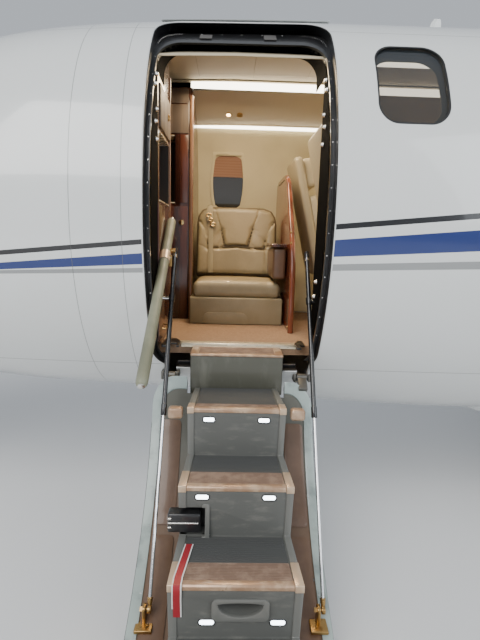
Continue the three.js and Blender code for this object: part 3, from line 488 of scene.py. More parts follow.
# Cabin windows: stretched acrylic panes just under the skin, each behind a thin dark seal.
glass = Finish("tinted_acrylic", (0.025, 0.03, 0.035), 0.03, alpha=0.62, coat_weight=0.5)
seal_rubber = Finish("window_seal_rubber", (0.015, 0.015, 0.016), 0.5, grain=(400, 2, 0.0002))
PANE = (0.010, 0.017)


def merge(name, pieces):
    """Several pieces become one."""
    shape = bmesh.new()
    for piece in pieces:
        shape.from_mesh(piece.data)
        bpy.data.objects.remove(piece)
    mesh = bpy.data.meshes.new(name)
    shape.to_mesh(mesh)
    shape.free()
    return linked(name, mesh)


def skin_layer(name, x0, x1, outer, inner, tools, step=SKIN_STEP):
    """The part of a layer of the fuselage wall that is inside the tools."""
    layer = skin_tube(name, x0, x1, outer, inner, step)
    carve(layer, [merge("saw", tools)], "INTERSECT")
    shade_as_skin(layer)
    return layer


def ring_layer(name, x0, x1, outer, inner, outside, hollow, step=SKIN_STEP):
    """A band of the fuselage wall between two sets of tools."""
    band = skin_tube(name, x0, x1, outer, inner, step)
    carve(band, [merge("saw", outside)], "INTERSECT")
    carve(band, [merge("saw", hollow)])
    shade_as_skin(band)
    give(band, seal_rubber)


for side, (centres, span) in WINDOW_ROWS.items():
    reach = (centres[0] - 0.3, centres[-1] + 0.3)
    panes = skin_layer(f"cabin_panes_{side}", *reach, *PANE, window_saws(side, -0.0006))
    give(panes, glass, replaces=[f"cabin_windows_{side}"])
    ring_layer(f"window_seals_{side}", *reach, 0.001, 0.0095, window_saws(side, -0.0004),
               window_saws(side, -0.0075))

# Cockpit skin and its windscreen: two curved glass panes each side of a centre post, laid in
# rebates of the same skin, with a dark sealant line round each.
FRONT_PANE = [(-5.93, 1.985), (-5.345, 1.962), (-5.292, 2.3), (-5.4, 2.5), (-5.93, 2.4)]
SIDE_PANE = [(-5.268, 1.962), (-4.985, 1.985), (-4.93, 2.085), (-5.04, 2.27), (-5.215, 2.33)]
CENTRE_POST = 0.032
PANE_CORNER = 0.045


def rounded_polygon(corners, radius, steps=6):
    """A polygon whose corners are rounded off."""
    outline = []
    for k, here in enumerate(corners):
        here = Vector(here)
        before = (Vector(corners[k - 1]) - here).normalized()
        after = (Vector(corners[(k + 1) % len(corners)]) - here).normalized()
        half_angle = before.angle(after) / 2
        reach = radius / math.tan(half_angle)
        start, end = here + before * reach, here + after * reach
        for step in range(steps + 1):
            t = step / steps
            outline.append(tuple(start * (1 - t) ** 2 + here * 2 * t * (1 - t) + end * t ** 2))
    return outline


def windscreen_saws(grow=0.0):
    tools = []
    for pane in (FRONT_PANE, SIDE_PANE):
        middle = sum((Vector(p) for p in pane), Vector((0, 0))) / len(pane)
        grown = [tuple(Vector(p) + (Vector(p) - middle).normalized() * grow) for p in pane]
        outline = rounded_polygon(grown, PANE_CORNER)
        post = CENTRE_POST - grow * 0.6
        tools += [prism("saw", outline, "y", -1.0, -post), prism("saw", outline, "y", post, 1.0)]
    return tools


for name, x0, x1, node, tools in (
        ("cockpit_skin", -5.99, -4.5603, "cockpit_shell", windscreen_saws()),
        ("nose_skin", -7.82, -5.9903, "nose_cone", [box_tool(-6.69, -6.08, -0.125, 0.125, 0.6, 1.15)]),
        ("tail_skin", 1.9003, 6.6, "tail_cone", [])):
    skin = skin_tube(name, x0, x1, 0, None if name != "cockpit_skin" else SKIN_THICK,
                     SKIN_STEP / 2 if x0 < -5 else SKIN_STEP)
    if tools:
        carve(skin, tools)
    shade_as_skin(skin)
    give(skin, skin_paint, replaces=[node])

windscreen = skin_layer("windscreen_panes", -5.985, -4.8, 0.005, 0.017, windscreen_saws(-0.0006),
                        SKIN_STEP / 2)
give(windscreen, glass, replaces=["windshield_port", "windshield_starboard"])
ring_layer("windscreen_sealant", -5.985, -4.8, -0.0006, 0.0045, windscreen_saws(0.004),
           windscreen_saws(-0.012), SKIN_STEP / 2)

# Drip rail over the doorway, bonded to the skin, and a blade aerial on the roof, both moulded
# and painted white.
DRIP_RAIL = {"half": 0.402, "z0": 2.679, "z1": 2.692}
trim_paint = gloss_paint("white_trim_paint")
drip_rail = skin_layer("door_drip_rail", DOOR_X - 0.5, DOOR_X + 0.5, -0.010, 0.004,
                       [box_tool(DOOR_X - DRIP_RAIL["half"], DOOR_X + DRIP_RAIL["half"], -0.6, -0.15,
                                 DRIP_RAIL["z0"], DRIP_RAIL["z1"])], 0.05)
give(drip_rail, trim_paint)
AERIAL_X = -2.815


AERIAL = [  # height, leading edge and trailing edge from AERIAL_X, half thickness
    (2.735, -0.06, 0.045, 0.009), (2.76, -0.055, 0.045, 0.007), (2.865, -0.012, 0.042, 0.005),
    (2.884, 0.002, 0.036, 0.002)]
profile = [(0, 0), (0.08, 0.7), (0.3, 1), (0.65, 0.7), (1, 0.05)]
sides = profile + [(a, -b) for a, b in profile[-1:0:-1]]
aerial = loft("roof_aerial", [[(AERIAL_X + front + (back - front) * a, b * half, z) for a, b in sides]
                              for z, front, back, half in AERIAL])
soften(aerial)
give(aerial, trim_paint)

# Door surround: a black moulded frame bonded in the doorway, with two rubber seals inside it and a white
# lip along the skin edge, deep jamb linings running back to the cabin trim, and the door's latch sockets.
CLEAR = {"half": 0.364, "top": 2.505, "radius": 0.1}
black_moulding = Finish("black_moulded_trim", (0.012, 0.012, 0.013), 0.32, coat_weight=0.35,
                        grain=(260, 2, 0.00025))
jamb_black = Finish("black_jamb_lining", (0.004, 0.004, 0.0042), 0.9, specular_ior_level=0.03,
                    grain=(350, 3, 0.0003))
latch_metal = Finish("bright_latch_steel", (0.78, 0.76, 0.72), 0.2, metallic=1.0, wear=(60, 3, 0.25, 0.1),
                     grain=(300, 2, 0.0001))

frame_ring = door_tube("door_surround", 0.046, 0.079)
carve(frame_ring, [doorway_saw(0.0005)], "INTERSECT")
carve(frame_ring,
      [prism("saw", door_outline(CLEAR["half"], 0.8, CLEAR["top"], CLEAR["radius"]), "y", -1.0, -0.1)])
soften(frame_ring)
reveal = door_tube("door_reveal", 0.003, 0.050)
carve(reveal, [doorway_saw(0.0005)], "INTERSECT")
carve(reveal, [doorway_saw(0.004, CUTOUT["radius"] - 0.003), *hinge_slots(-0.85, -0.4, 0.9, 1.08)])
soften(reveal)
JAMB = {"front": -0.815, "back": -0.60, "header_back": -0.40, "thick": 0.0035, "low": 1.132}
jambs = prism("door_jambs", door_outline(CLEAR["half"] + JAMB["thick"], 1.0, CLEAR["top"] + JAMB["thick"],
                                         CLEAR["radius"]), "y", JAMB["front"], JAMB["header_back"])
carve(jambs, [prism("saw", door_outline(CLEAR["half"], 0.9, CLEAR["top"], CLEAR["radius"]), "y", -1,
                    -0.1),
              box_tool(DOOR_X - 0.5, DOOR_X + 0.5, -1, -0.1, 0.8, JAMB["low"]),
              box_tool(DOOR_X - 0.5, DOOR_X + 0.5, JAMB["back"], -0.1, 0.8, 2.36)])
carve(jambs, [skin_tube("saw", DOOR_X - 0.5, DOOR_X + 0.5, 0.06, None, 0.05)], "INTERSECT")
soften(jambs)
give(jambs, jamb_black)
surround = merge("door_surround", [frame_ring, reveal])
give(surround, black_moulding, replaces=["door_frame"])

SEAL = {"radius": 0.0065, "depth": 0.052}


def tube_path(name, points, radius, closed=False, sides=12):
    """A round bar or hose along a path."""
    curve = bpy.data.curves.new(name, "CURVE")
    curve.dimensions = "3D"
    curve.bevel_depth = radius
    curve.bevel_resolution = max(0, sides // 4 - 1)
    curve.use_fill_caps = not closed
    line = curve.splines.new("POLY")
    line.points.add(len(points) - 1)
    for point, place in zip(line.points, points):
        point.co = (*place, 1)
    line.use_cyclic_u = closed
    drawn = linked(name, curve)
    bpy.context.view_layer.update()
    mesh = bpy.data.meshes.new_from_object(drawn.evaluated_get(bpy.context.evaluated_depsgraph_get()))
    bpy.data.objects.remove(drawn)
    piece = linked(name, mesh)
    face_out(piece)
    soften(piece, 50)
    return piece


def on_wall(x, z, inset):
    """A place on the port wall, this far in from the skin."""
    return Vector((x, -skin_out(x, z, inset), z))


def dense(outline, step=0.02):
    """An outline with extra points along its long sides."""
    result = []
    for k, a in enumerate(outline):
        b = outline[(k + 1) % len(outline)]
        count = max(1, int(math.dist(a, b) / step))
        result += [(a[0] + (b[0] - a[0]) * i / count, a[1] + (b[1] - a[1]) * i / count)
                   for i in range(count)]
    return result


seals = [tube_path("door_seal", [on_wall(x, z, SEAL["depth"]) for x, z in dense(door_outline(
    CUTOUT["half"] - inside, CUTOUT["bottom"] + inside, CUTOUT["top"] - inside, 0.1))], SEAL["radius"],
    True)
         for inside in (0.015, 0.007)]
lip = tube_path("door_edge_lip", [on_wall(x, z, 0.0005) for x, z in
                                  dense(door_outline(CUTOUT["half"] + 0.001, CUTOUT["bottom"] - 0.001,
                                                     CUTOUT["top"] + 0.001, CUTOUT["radius"]))], 0.0028,
                                                     True)
carve(lip, [box_tool(DOOR_X - STEP_SLOT["half"], DOOR_X + STEP_SLOT["half"], -1.2, -0.3, 0.8, 1.2)])
for ring in (*seals, lip):
    carve(ring, hinge_slots(-0.85, -0.4, 0.9, 1.08))
give(merge("door_seals", seals), seal_rubber)
give(lip, trim_paint)


def copies(piece, build, sizes, kind, finish):
    """Geometry Nodes turn a mesh into painted copies of a shape; `build` adds the nodes that
    place them and returns the last one, and `sizes` are the numbers that it reads."""
    tree = bpy.data.node_groups.new(piece.name + "_copies", "GeometryNodeTree")
    tree.interface.new_socket("Given", in_out="INPUT", socket_type="NodeSocketGeometry")
    inputs = {key: tree.interface.new_socket(key, in_out="INPUT", socket_type=kind) for key in sizes}
    tree.interface.new_socket("Made", in_out="OUTPUT", socket_type="NodeSocketGeometry")
    nodes, links = tree.nodes, tree.links
    start, end = nodes.new("NodeGroupInput"), nodes.new("NodeGroupOutput")
    real, paint = nodes.new("GeometryNodeRealizeInstances"), nodes.new("GeometryNodeSetMaterial")
    paint.inputs["Material"].default_value = finish.material
    placed = build(nodes, links, start)
    for before, after in ((placed, real), (real, paint), (paint, end)):
        links.new(before.outputs[0], after.inputs[0])
    rows = piece.modifiers.new("copies", "NODES")
    rows.node_group = tree
    for key, value in sizes.items():
        rows[inputs[key].identifier] = value
    bake(piece)


def repeat(name, spots, finish, shape_nodes, sizes):
    """One small shape set at every spot of (place, way that it faces)."""
    cloud = bpy.data.meshes.new(name)
    cloud.from_pydata([tuple(p) for p, _ in spots], [], [])
    facing = cloud.attributes.new("facing", "FLOAT_VECTOR", "POINT")
    facing.data.foreach_set("vector", [c for _, way in spots for c in way])
    piece = linked(name, cloud)

    def build(nodes, links, start):
        turn = nodes.new("FunctionNodeAlignRotationToVector")
        turn.axis = "Z"
        read = nodes.new("GeometryNodeInputNamedAttribute")
        read.data_type = "FLOAT_VECTOR"
        read.inputs["Name"].default_value = "facing"
        links.new(read.outputs["Attribute"], turn.inputs["Vector"])
        place = nodes.new("GeometryNodeInstanceOnPoints")
        links.new(start.outputs["Given"], place.inputs["Points"])
        links.new(shape_nodes(nodes, links, start), place.inputs["Instance"])
        links.new(turn.outputs["Rotation"], place.inputs["Rotation"])
        return place

    copies(piece, build, sizes, "NodeSocketFloat", finish)
    soften(piece, 30)
    return piece


def disc_shape(sides=12):
    """A low round head, such as a screw, a rivet or a button."""
    def build(nodes, links, start):
        head = nodes.new("GeometryNodeMeshCone")
        head.inputs["Vertices"].default_value = sides
        links.new(start.outputs["Top"], head.inputs["Radius Top"])
        links.new(start.outputs["Bottom"], head.inputs["Radius Bottom"])
        links.new(start.outputs["Height"], head.inputs["Depth"])
        return head.outputs["Mesh"]
    return build


def block_shape(nodes, links, start):
    """A plain bar, such as a rib or a stitch."""
    size, cube = nodes.new("ShaderNodeCombineXYZ"), nodes.new("GeometryNodeMeshCube")
    for key, socket in (("Long", "X"), ("Wide", "Y"), ("High", "Z")):
        links.new(start.outputs[key], size.inputs[socket])
    links.new(size.outputs[0], cube.inputs["Size"])
    return cube.outputs["Mesh"]


LATCH_HEIGHTS = [2.329, 2.282, 2.190, 2.134, 2.068, 1.47, 1.40]
LATCH_OUT = 0.655
latch_spots = [(Vector((DOOR_X + CUTOUT["middle"] + s * (CLEAR["half"] - 0.002),
                        -LATCH_OUT - 0.03 * (k % 2), z)),
                (-s, 0, 0)) for s in (-1, 1) for k, z in enumerate(LATCH_HEIGHTS)]
sockets = repeat("door_latch_sockets", latch_spots, latch_metal, disc_shape(16),
                 {"Top": 0.006, "Bottom": 0.011, "Height": 0.010})
give(sockets, latch_metal)
screw_spots = [(spot, skin_normal(spot)) for spot in
               (Vector((x, -skin_out(x, z, 0.0478), z)) for x, z in
                dense(door_outline(CUTOUT["half"] - 0.014, 1.05, CUTOUT["top"] - 0.045, 0.09), 0.09)
                if z > 1.16)]
screws = repeat("door_surround_screws", screw_spots, latch_metal, disc_shape(10),
                {"Top": 0.0028, "Bottom": 0.0038, "Height": 0.0022})
give(screws, latch_metal)
hatch_grey = Finish("grey_bumper_rubber", (0.09, 0.085, 0.08), 0.7, grain=(350, 3, 0.0004))


def soft_box(name, low, high, round_by=0.004, segments=3):
    """A block with rounded edges."""
    centre = [(a + b) / 2 for a, b in zip(low, high)]
    half = [abs(b - a) / 2 for a, b in zip(low, high)]
    corners = [(centre[0] + i * half[0], centre[1] + j * half[1], centre[2] + k * half[2])
               for i in (-1, 1) for j in (-1, 1) for k in (-1, 1)]
    piece = add_piece(name, corners,
                      [(0, 1, 3, 2), (4, 6, 7, 5), (0, 4, 5, 1), (2, 3, 7, 6), (0, 2, 6, 4),
                       (1, 5, 7, 3)])
    face_out(piece)
    return round_edges(piece, round_by, segments)


def round_edges(piece, round_by, segments=3, angle=30):
    bevel = piece.modifiers.new("rounded", "BEVEL")
    bevel.width, bevel.segments, bevel.limit_method = round_by, segments, "ANGLE"
    bevel.angle_limit = math.radians(angle)
    bevel.harden_normals = False
    bake(piece)
    soften(piece, 40)
    return piece


bumpers = merge("door_header_bumpers", [
    soft_box("bumper", (DOOR_X + x - 0.028, -skin_out(DOOR_X, 2.56, 0.02), 2.536),
             (DOOR_X + x + 0.028, -skin_out(DOOR_X, 2.56, 0.056), 2.582)) for x in (-0.176, 0.115)])
carve(bumpers, [door_tube("saw", 0.0412, None)], "INTERSECT")
round_edges(bumpers, 0.0015, 2)
give(bumpers, hatch_grey)

# Entry door, lowered: a striped skin, a grey edge with a bulb seal, and an inner side with a pale
# rim, an olive pan, brown side panels with drain holes, hinge arms and strut brackets.
HINGE = Vector((DOOR_X, -0.6, 0.995))
SWING = math.radians(125)
OPENING = (Matrix.Translation(HINGE) @ Matrix.Rotation(SWING, 4, "X") @ Matrix.Translation(-HINGE))
DOOR = {"half": 0.380, "bottom": 1.042, "top": 2.629, "radius": 0.104}
DOOR_MIDDLE = DOOR_X + CUTOUT["middle"]
STEP_HALF = 0.219
door_paint = gloss_paint("entry_door_paint", True, home="shut_place")
edge_grey = Finish("door_edge_grey", (0.2, 0.21, 0.205), 0.42, grain=(120, 3, 0.0004))
rim_teal = Finish("pale_teal_enamel", (0.35, 0.42, 0.40), 0.35, coat_weight=0.3,
                  cloud=(14, 4, 0.45, 0.7, (0.36, 0.43, 0.41), (0.24, 0.29, 0.28)))
pan_olive = Finish("olive_door_pan", (0.10, 0.098, 0.078), 0.5)
pan_olive.set({"Base Color": pan_olive.mix(pan_olive.place()[2].ease(0.45, 0.72), (0.135, 0.082, 0.05),
                                           (0.1, 0.1, 0.082)),
               "Roughness": pan_olive.noise(20, 4) * 0.3 + 0.35})
pan_olive.bump(pan_olive.noise(90, 3), 0.0005)
brass = Finish("worn_brass", (0.42, 0.26, 0.10), 0.3, metallic=1.0, wear=(50, 4, 0.35, 0.15))


def opened(piece):
    """Keeps where each point is on the shut door, then swings the piece down with it."""
    shut = piece.data.attributes.new("shut_place", "FLOAT_VECTOR", "POINT")
    shut.data.foreach_set("vector", [c for v in piece.data.vertices for c in v.co])
    piece.data.transform(OPENING)
    return piece


def at(dx, u, z):
    """A place beside the doorway: aft of its middle, out from the jet's middle, and up."""
    return Vector((DOOR_X + dx, -u, z))


def door_saw(shrink):
    return prism("saw", rounded_outline(DOOR_MIDDLE - DOOR["half"] + shrink,
                                        DOOR_MIDDLE + DOOR["half"] - shrink,
                                        DOOR["bottom"] + shrink, DOOR["top"] - shrink,
                                        DOOR["radius"] - shrink / 2),
                 "y", -1.2, -0.1)


def door_layer(name, outer, inner, shrink, hollow=None, tools=()):
    layer = door_tube(name, outer, inner)
    notch = box_tool(DOOR_X - 0.231, DOOR_X + 0.231, -1.2, -0.4, 0.9, 1.1)
    carve(layer, [door_saw(shrink)], "INTERSECT")
    carve(layer, [notch] + ([door_saw(hollow)] if hollow else []) + list(tools))
    return layer


door_skin = door_layer("entry_door_skin", 0, 0.012, 0)
shade_as_skin(door_skin)
give(opened(door_skin), door_paint, "entry_door", ["entry_door"])
door_edge = door_layer("entry_door_edge", 0.0122, 0.038, 0.004, 0.05)
soften(door_edge)
give(opened(door_edge), edge_grey, "entry_door")
bulb = tube_path("entry_door_seal", [on_wall(x, z, 0.026) for x, z in
                                     dense(rounded_outline(DOOR_MIDDLE - 0.3745, DOOR_MIDDLE + 0.3745,
                                                           1.12, DOOR["top"] - 0.0055, 0.1))],
                 0.006, True)
give(opened(bulb), seal_rubber, "entry_door")
door_rim = door_layer("entry_door_rim", 0.0382, 0.0448, 0.0045, 0.044)
soften(door_rim)
round_edges(door_rim, 0.0016, 2)
give(opened(door_rim), rim_teal, "entry_door")
pan_holes = [prism("saw", rounded_outline(x - r, x + r, z - r, z + r, r * 0.98, 6), "y", -1.2, -0.1)
             for x, z, r in ((DOOR_X + 0.262, 1.78, 0.008), (DOOR_X + 0.315, 1.82, 0.007),
                             (DOOR_X + 0.272, 2.14, 0.008),
                             (DOOR_X + 0.3, 2.3, 0.006), (DOOR_X - 0.28, 1.8, 0.008),
                             (DOOR_X - 0.3, 2.2, 0.008))]
door_pan = door_layer("entry_door_pan", 0.034, 0.040, 0.0445, None, pan_holes)
soften(door_pan)
give(opened(door_pan), pan_olive, "entry_door")
door_core = door_layer("entry_door_core", 0.0122, 0.0335, 0.0505)
soften(door_core)
give(opened(door_core), black_moulding, "entry_door")

# Raised brown pads down both sides of the door's inner face, with a row of screws beside them.
pads = []
for side in (-1, 1):
    for low, high, proud in ((1.2, 1.62, 0.004), (1.66, 2.08, 0.006), (2.12, 2.5, 0.004)):
        pad = door_tube("pad", 0.0395, 0.040 + proud)
        a, b = sorted((DOOR_MIDDLE + side * (STEP_HALF + 0.02), DOOR_MIDDLE + side * 0.328))
        carve(pad, [prism("saw", rounded_outline(a, b, low, high, 0.018, 6), "y", -1.2, -0.1)],
              "INTERSECT")
        pads.append(round_edges(pad, 0.002, 2, 40))
pad_brown = Finish("brown_door_panel", (0.12, 0.068, 0.04), 0.4, coat_weight=0.2)
pad_brown.set({"Base Color": pad_brown.mix(pad_brown.noise(30, 4), (0.10, 0.055, 0.032),
                                           (0.16, 0.092, 0.055))})
pad_brown.bump(pad_brown.noise(240, 2), 0.0003)
give(opened(merge("entry_door_pads", pads)), pad_brown, "entry_door")
pad_screws = repeat("entry_door_screws", [(on_wall(x, z, 0.0402), (0, 1, 0)) for side in (-1, 1) for x in
                                          (DOOR_MIDDLE + side * 0.344,)
                                          for z in steps_between(1.25, 2.5, 0.12)],
                    latch_metal, disc_shape(10), {"Top": 0.003, "Bottom": 0.004, "Height": 0.0055})
give(opened(pad_screws), latch_metal, "entry_door")

# Hinge: two arms of the door turn on pins held by brackets under the sill. The struts' lower
# ends bolt to brass brackets on the door's inner face.
hinge_metal = Finish("hinge_steel", (0.16, 0.155, 0.14), 0.4, metallic=0.8, grain=(150, 3, 0.0003))
arms = []
for dx in HINGE_DX:
    knuckle = tube_path("knuckle", [HINGE + Vector((dx + e, 0, 0)) for e in (-0.024, 0.024)], 0.018,
                        sides=24)
    arm = soft_box("arm", HINGE + Vector((dx - 0.022, -0.012, 0)),
                   HINGE + Vector((dx + 0.022, 0.012, 0.08)))
    arms += [knuckle, arm]
give(opened(merge("door_hinge_arms", arms)), hinge_metal, "entry_door")
pins = [tube_path("pin", [HINGE + Vector((dx + e, 0, 0)) for e in (-0.043, 0.043)], 0.008, sides=16)
        for dx in HINGE_DX]
pins += [soft_box("bracket", HINGE + Vector((dx + s * 0.029, -0.018, -0.02)),
                  HINGE + Vector((dx + s * 0.043, 0.08, 0.02)))
         for dx in HINGE_DX for s in (-1, 1)]
give(merge("door_hinge_brackets", pins), hinge_metal)
STRUTS = {"forward": -0.309, "aft": 0.330}
EYE = (1.27, 0.31)
brackets = []
for dx in STRUTS.values():
    u, z = EYE
    plate = prism("plate", rounded_outline(-u - 0.018, -u + 0.018, z - 0.062, z + 0.018, 0.014, 6), "x",
                  DOOR_X + dx - 0.024, DOOR_X + dx - 0.012)
    pad = soft_box("foot", at(dx - 0.05, u + 0.045, z - 0.064), at(dx + 0.015, u - 0.03, z - 0.05), 0.003)
    bolt = tube_path("bolt", [at(dx + 0.006, u, z), at(dx - 0.028, u, z)], 0.0055, sides=16)
    head = tube_path("nut", [at(dx - 0.024, u, z), at(dx - 0.034, u, z)], 0.010, sides=6)
    brackets += [round_edges(plate, 0.002, 2), pad, bolt, head]
give(merge("strut_brackets", brackets), brass, "entry_door")

# Airstair: a moulded grey stair fixed inside the door, with cheek bands down both sides, tread strips
# painted brown and capped nosings painted tan for the warm cabin light on them, step lights, a hand
# pocket and the lower door latch.
STAIR = {"first": (0.937, 0.955), "run": 0.235, "rise": 0.215, "count": 4, "lip": 0.03, "rake": 0.02,
         "back": 0.672}
STAIR_WIDTH = [(0.937, 0.205), (1.642, 0.235)]  # half width at the first and last nosing
grey_step = Finish("grey_step_moulding", (0.105, 0.108, 0.1), 0.45)
grain = grey_step.noise(420, 3)
scuff = grey_step.noise(11, 6, 0.65, (1, 1, 3))
grey_step.set({"Base Color": grey_step.mix(scuff.ease(0.5, 0.72) * 0.5, (0.105, 0.108, 0.1),
                                           (0.19, 0.185, 0.165)),
               "Roughness": scuff * 0.3 + 0.3})
grey_step.bump(grain + scuff * 0.4, 0.0006)
cheek_grey = Finish("grey_step_cheek", (0.15, 0.152, 0.14), 0.35, coat_weight=0.3, grain=(300, 2, 0.0002))
# Painted warm light: the tread strips' brown stands for warm cabin light falling on grey rubber; the
# lighter patches vary at random.
tread_warm_lit_brown = Finish("brown_tread_rubber", (0.2, 0.13, 0.095), 0.6)
tread_wear = tread_warm_lit_brown.noise(16, 5, 0.6)
tread_warm_lit_brown.set({"Base Color": tread_warm_lit_brown.mix(tread_wear.ease(0.42, 0.66), (0.2, 0.13, 0.095),
                                               (0.3, 0.21, 0.155))})
tread_warm_lit_brown.bump(tread_warm_lit_brown.noise(520, 2), 0.0006)
tread_grey = Finish("grey_tread_rubber", (0.07, 0.072, 0.07), 0.65, grain=(520, 2, 0.0006))
# Painted warm light: the tan of the metal nosings, the side blocks and the top step's tread stands for
# warm cabin light falling on them.
nosing_warm_lit_tan = Finish("tan_nosing", (0.42, 0.27, 0.17), 0.3, metallic=0.35, coat_weight=0.4,
                    cloud=(24, 5, 0.4, 0.7, (0.40, 0.25, 0.155), (0.56, 0.40, 0.27)),
                    wear=(40, 3, 0.25, 0.2))
cap_tan = Finish("pale_nosing_cap", (0.6, 0.44, 0.3), 0.3, metallic=0.3, coat_weight=0.4)
lamp_white = Finish("step_light_lens", (0.9, 0.95, 1.0), 0.3, emission_strength=9.0,
                    emission_color=(0.85, 0.94, 1.0))


CHEEK = 0.028


def nosing(k):
    return STAIR["first"][0] + k * STAIR["run"], STAIR["first"][1] - k * STAIR["rise"]


def flare(piece):
    """Widens a part of the stair towards its foot."""
    (u0, w0), (u1, w1) = STAIR_WIDTH
    for v in piece.data.vertices:
        share = (-v.co.y - u0) / (u1 - u0)
        v.co.x = DOOR_X + (v.co.x - DOOR_X) * (w0 + (w1 - w0) * share) / STEP_HALF
    return piece


def stair_outline(grow=0.0):
    outline = []
    for k in range(STAIR["count"]):
        u, z = nosing(k)
        back = u - STAIR["run"] - STAIR["rake"] if k else STAIR["back"]
        outline += [(-back - (grow if k else 0), z + grow), (-u - grow, z + grow),
                    (-u - grow, z - STAIR["lip"] + grow)]
    foot = nosing(STAIR["count"] - 1)[0] - STAIR["rake"]
    return outline + [(-foot - grow, 0.12), (-STAIR["back"], 0.12)]


def inside_door():
    return opened(door_tube("saw", 0.0455, None))


stair = prism("airstair", stair_outline(), "x", DOOR_X - STEP_HALF + 0.002, DOOR_X + STEP_HALF - 0.002)
carve(stair, [inside_door()], "INTERSECT")
latch_u = nosing(1)[0]
LATCH = {"dx0": -0.215, "dx1": -0.118, "z0": 0.531, "z1": 0.652}
POCKET = {"dx": 0.017, "z": 0.438, "half": 0.074}
pocket_u = nosing(2)[0]


def pocket_saw(front):
    """The half-moon mouth of the hand pocket."""
    turns = [math.pi * k / 18 for k in range(36)]
    outline = [(DOOR_X + POCKET["dx"] + POCKET["half"] * math.cos(a),
                POCKET["z"] + 0.016 + (0.046 if math.sin(a) < 0 else 0.008) * math.sin(a)) for a in turns]
    return prism("saw", outline, "y", -pocket_u - front, -pocket_u + 0.07)


def latch_saw(depth):
    return box_tool(DOOR_X - 0.25, DOOR_X + LATCH["dx1"], -latch_u - 0.05, -latch_u + depth, LATCH["z0"],
                    LATCH["z1"])


carve(stair, [latch_saw(0.075), pocket_saw(0.02)])
round_edges(stair, 0.004, 3)
give(flare(stair), grey_step, "entry_door", ["airstair_steps"])
cheeks = []
for side in (-1, 1):
    a, b = sorted((DOOR_X + side * (STEP_HALF - CHEEK), DOOR_X + side * STEP_HALF))
    cheek = prism("cheek", stair_outline(0.0045), "x", a, b)
    carve(cheek, [inside_door()], "INTERSECT")
    if side < 0:
        carve(cheek, [latch_saw(0.075)])
    cheeks.append(round_edges(cheek, 0.003, 3))
give(flare(merge("airstair_cheeks", cheeks)), cheek_grey, "entry_door")
wings = [soft_box("wing", at(side * 0.226, 0.938, 0.953), at(side * 0.288, 0.895, 0.905), 0.012, 4)
         for side in (-1, 1)]

BAND = STEP_HALF - CHEEK - 0.001
nosings, caps, ribs, grey_ribs, grey_pads = [], [], [], [], []
for k in range(STAIR["count"]):
    u, z = nosing(k)
    back = STAIR["back"] if k == 0 else u - STAIR["run"] - STAIR["rake"] + 0.006
    brown_from = u - 0.105 if k else u - 0.05

    def nose_profile(proud, depth, corner=0.006, low=0.016):
        return [(-u + depth, z), (-u + depth, z + proud), (-u - proud + corner, z + proud),
                (-u - proud, z + proud - corner),
                (-u - proud, z - low), (-u + 0.002, z - low - 0.002), (-u + 0.006, z - 0.006)]

    nosings.append(round_edges(prism("nosing", nose_profile(0.0035, 0.022), "x", DOOR_X - BAND,
                                     DOOR_X + BAND), 0.0015, 2))
    for side in (-1, 1):
        a, b = sorted((DOOR_X + side * (BAND + 0.0005), DOOR_X + side * (STEP_HALF + 0.0015)))
        caps.append(round_edges(prism("cap", nose_profile(0.0068, u - brown_from, 0.003, 0.02), "x", a,
                                      b), 0.0018, 2))
    grey_pads.append(soft_box("pad", (DOOR_X - BAND + 0.004, -back - 0.004, z - 0.001),
                              (DOOR_X + BAND - 0.004, -brown_from + 0.001, z + 0.0022), 0.001, 1))
    ribs += [(Vector((DOOR_X, -at_u, z + 0.0028)), (0, 0, 1))
             for at_u in steps_between(brown_from + 0.004, u - 0.028, 0.0075)]
    grey_ribs += [(Vector((DOOR_X, -at_u, z + 0.0026)), (0, 0, 1))
                  for at_u in steps_between(back + 0.012, brown_from - 0.008, 0.0105)]
    ribs_pad = soft_box("strip", (DOOR_X - BAND + 0.002, -u + 0.022, z - 0.001),
                        (DOOR_X + BAND - 0.002, -brown_from, z + 0.0022), 0.001, 1)
    give(flare(ribs_pad), tread_warm_lit_brown, "entry_door")
give(merge("airstair_side_blocks", wings), nosing_warm_lit_tan, "entry_door")
for name, pieces, finish in (("airstair_nosings", nosings, nosing_warm_lit_tan),
                             ("airstair_nosing_caps", caps, cap_tan),
                             ("airstair_grey_pads", grey_pads, tread_grey)):
    give(flare(merge(name, pieces)), finish, "entry_door")
for name, spots, finish, wide in (("airstair_brown_ribs", ribs, tread_warm_lit_brown, 0.0042),
                                  ("airstair_grey_ribs", grey_ribs, tread_grey, 0.0045)):
    rows = repeat(name, spots, finish, block_shape,
                  {"Long": BAND * 2 - 0.012, "Wide": wide, "High": 0.0022})
    give(flare(rows), finish, "entry_door")

LAMP = {"half": 0.024, "high": 0.0085}
lamps, bezels = [], []
for dx, z, k in ((-0.124, 0.907, 0), (0.122, 0.907, 0), (-0.130, 0.699, 1), (0.126, 0.699, 1),
                 (-0.093, 0.377, 2), (0.142, 0.377, 2)):
    u = nosing(k)[0] - STAIR["rake"] * (nosing(k)[1] - STAIR["lip"] - z) / (STAIR["rise"] - STAIR["lip"])

    def oval(grow, proud, sunk=0.01):
        return prism("oval", rounded_outline(DOOR_X + dx - LAMP["half"] - grow,
                                             DOOR_X + dx + LAMP["half"] + grow,
                                             z - LAMP["high"] - grow, z + LAMP["high"] + grow,
                                             LAMP["high"] + grow - 0.0003, 8), "y", -u - proud, -u + sunk)

    lamps.append(round_edges(oval(0, 0.004), 0.0015, 2))
    bezel = oval(0.005, 0.003)
    carve(bezel, [oval(0.0004, 0.02, 0.02)])
    bezels.append(round_edges(bezel, 0.0008, 1))
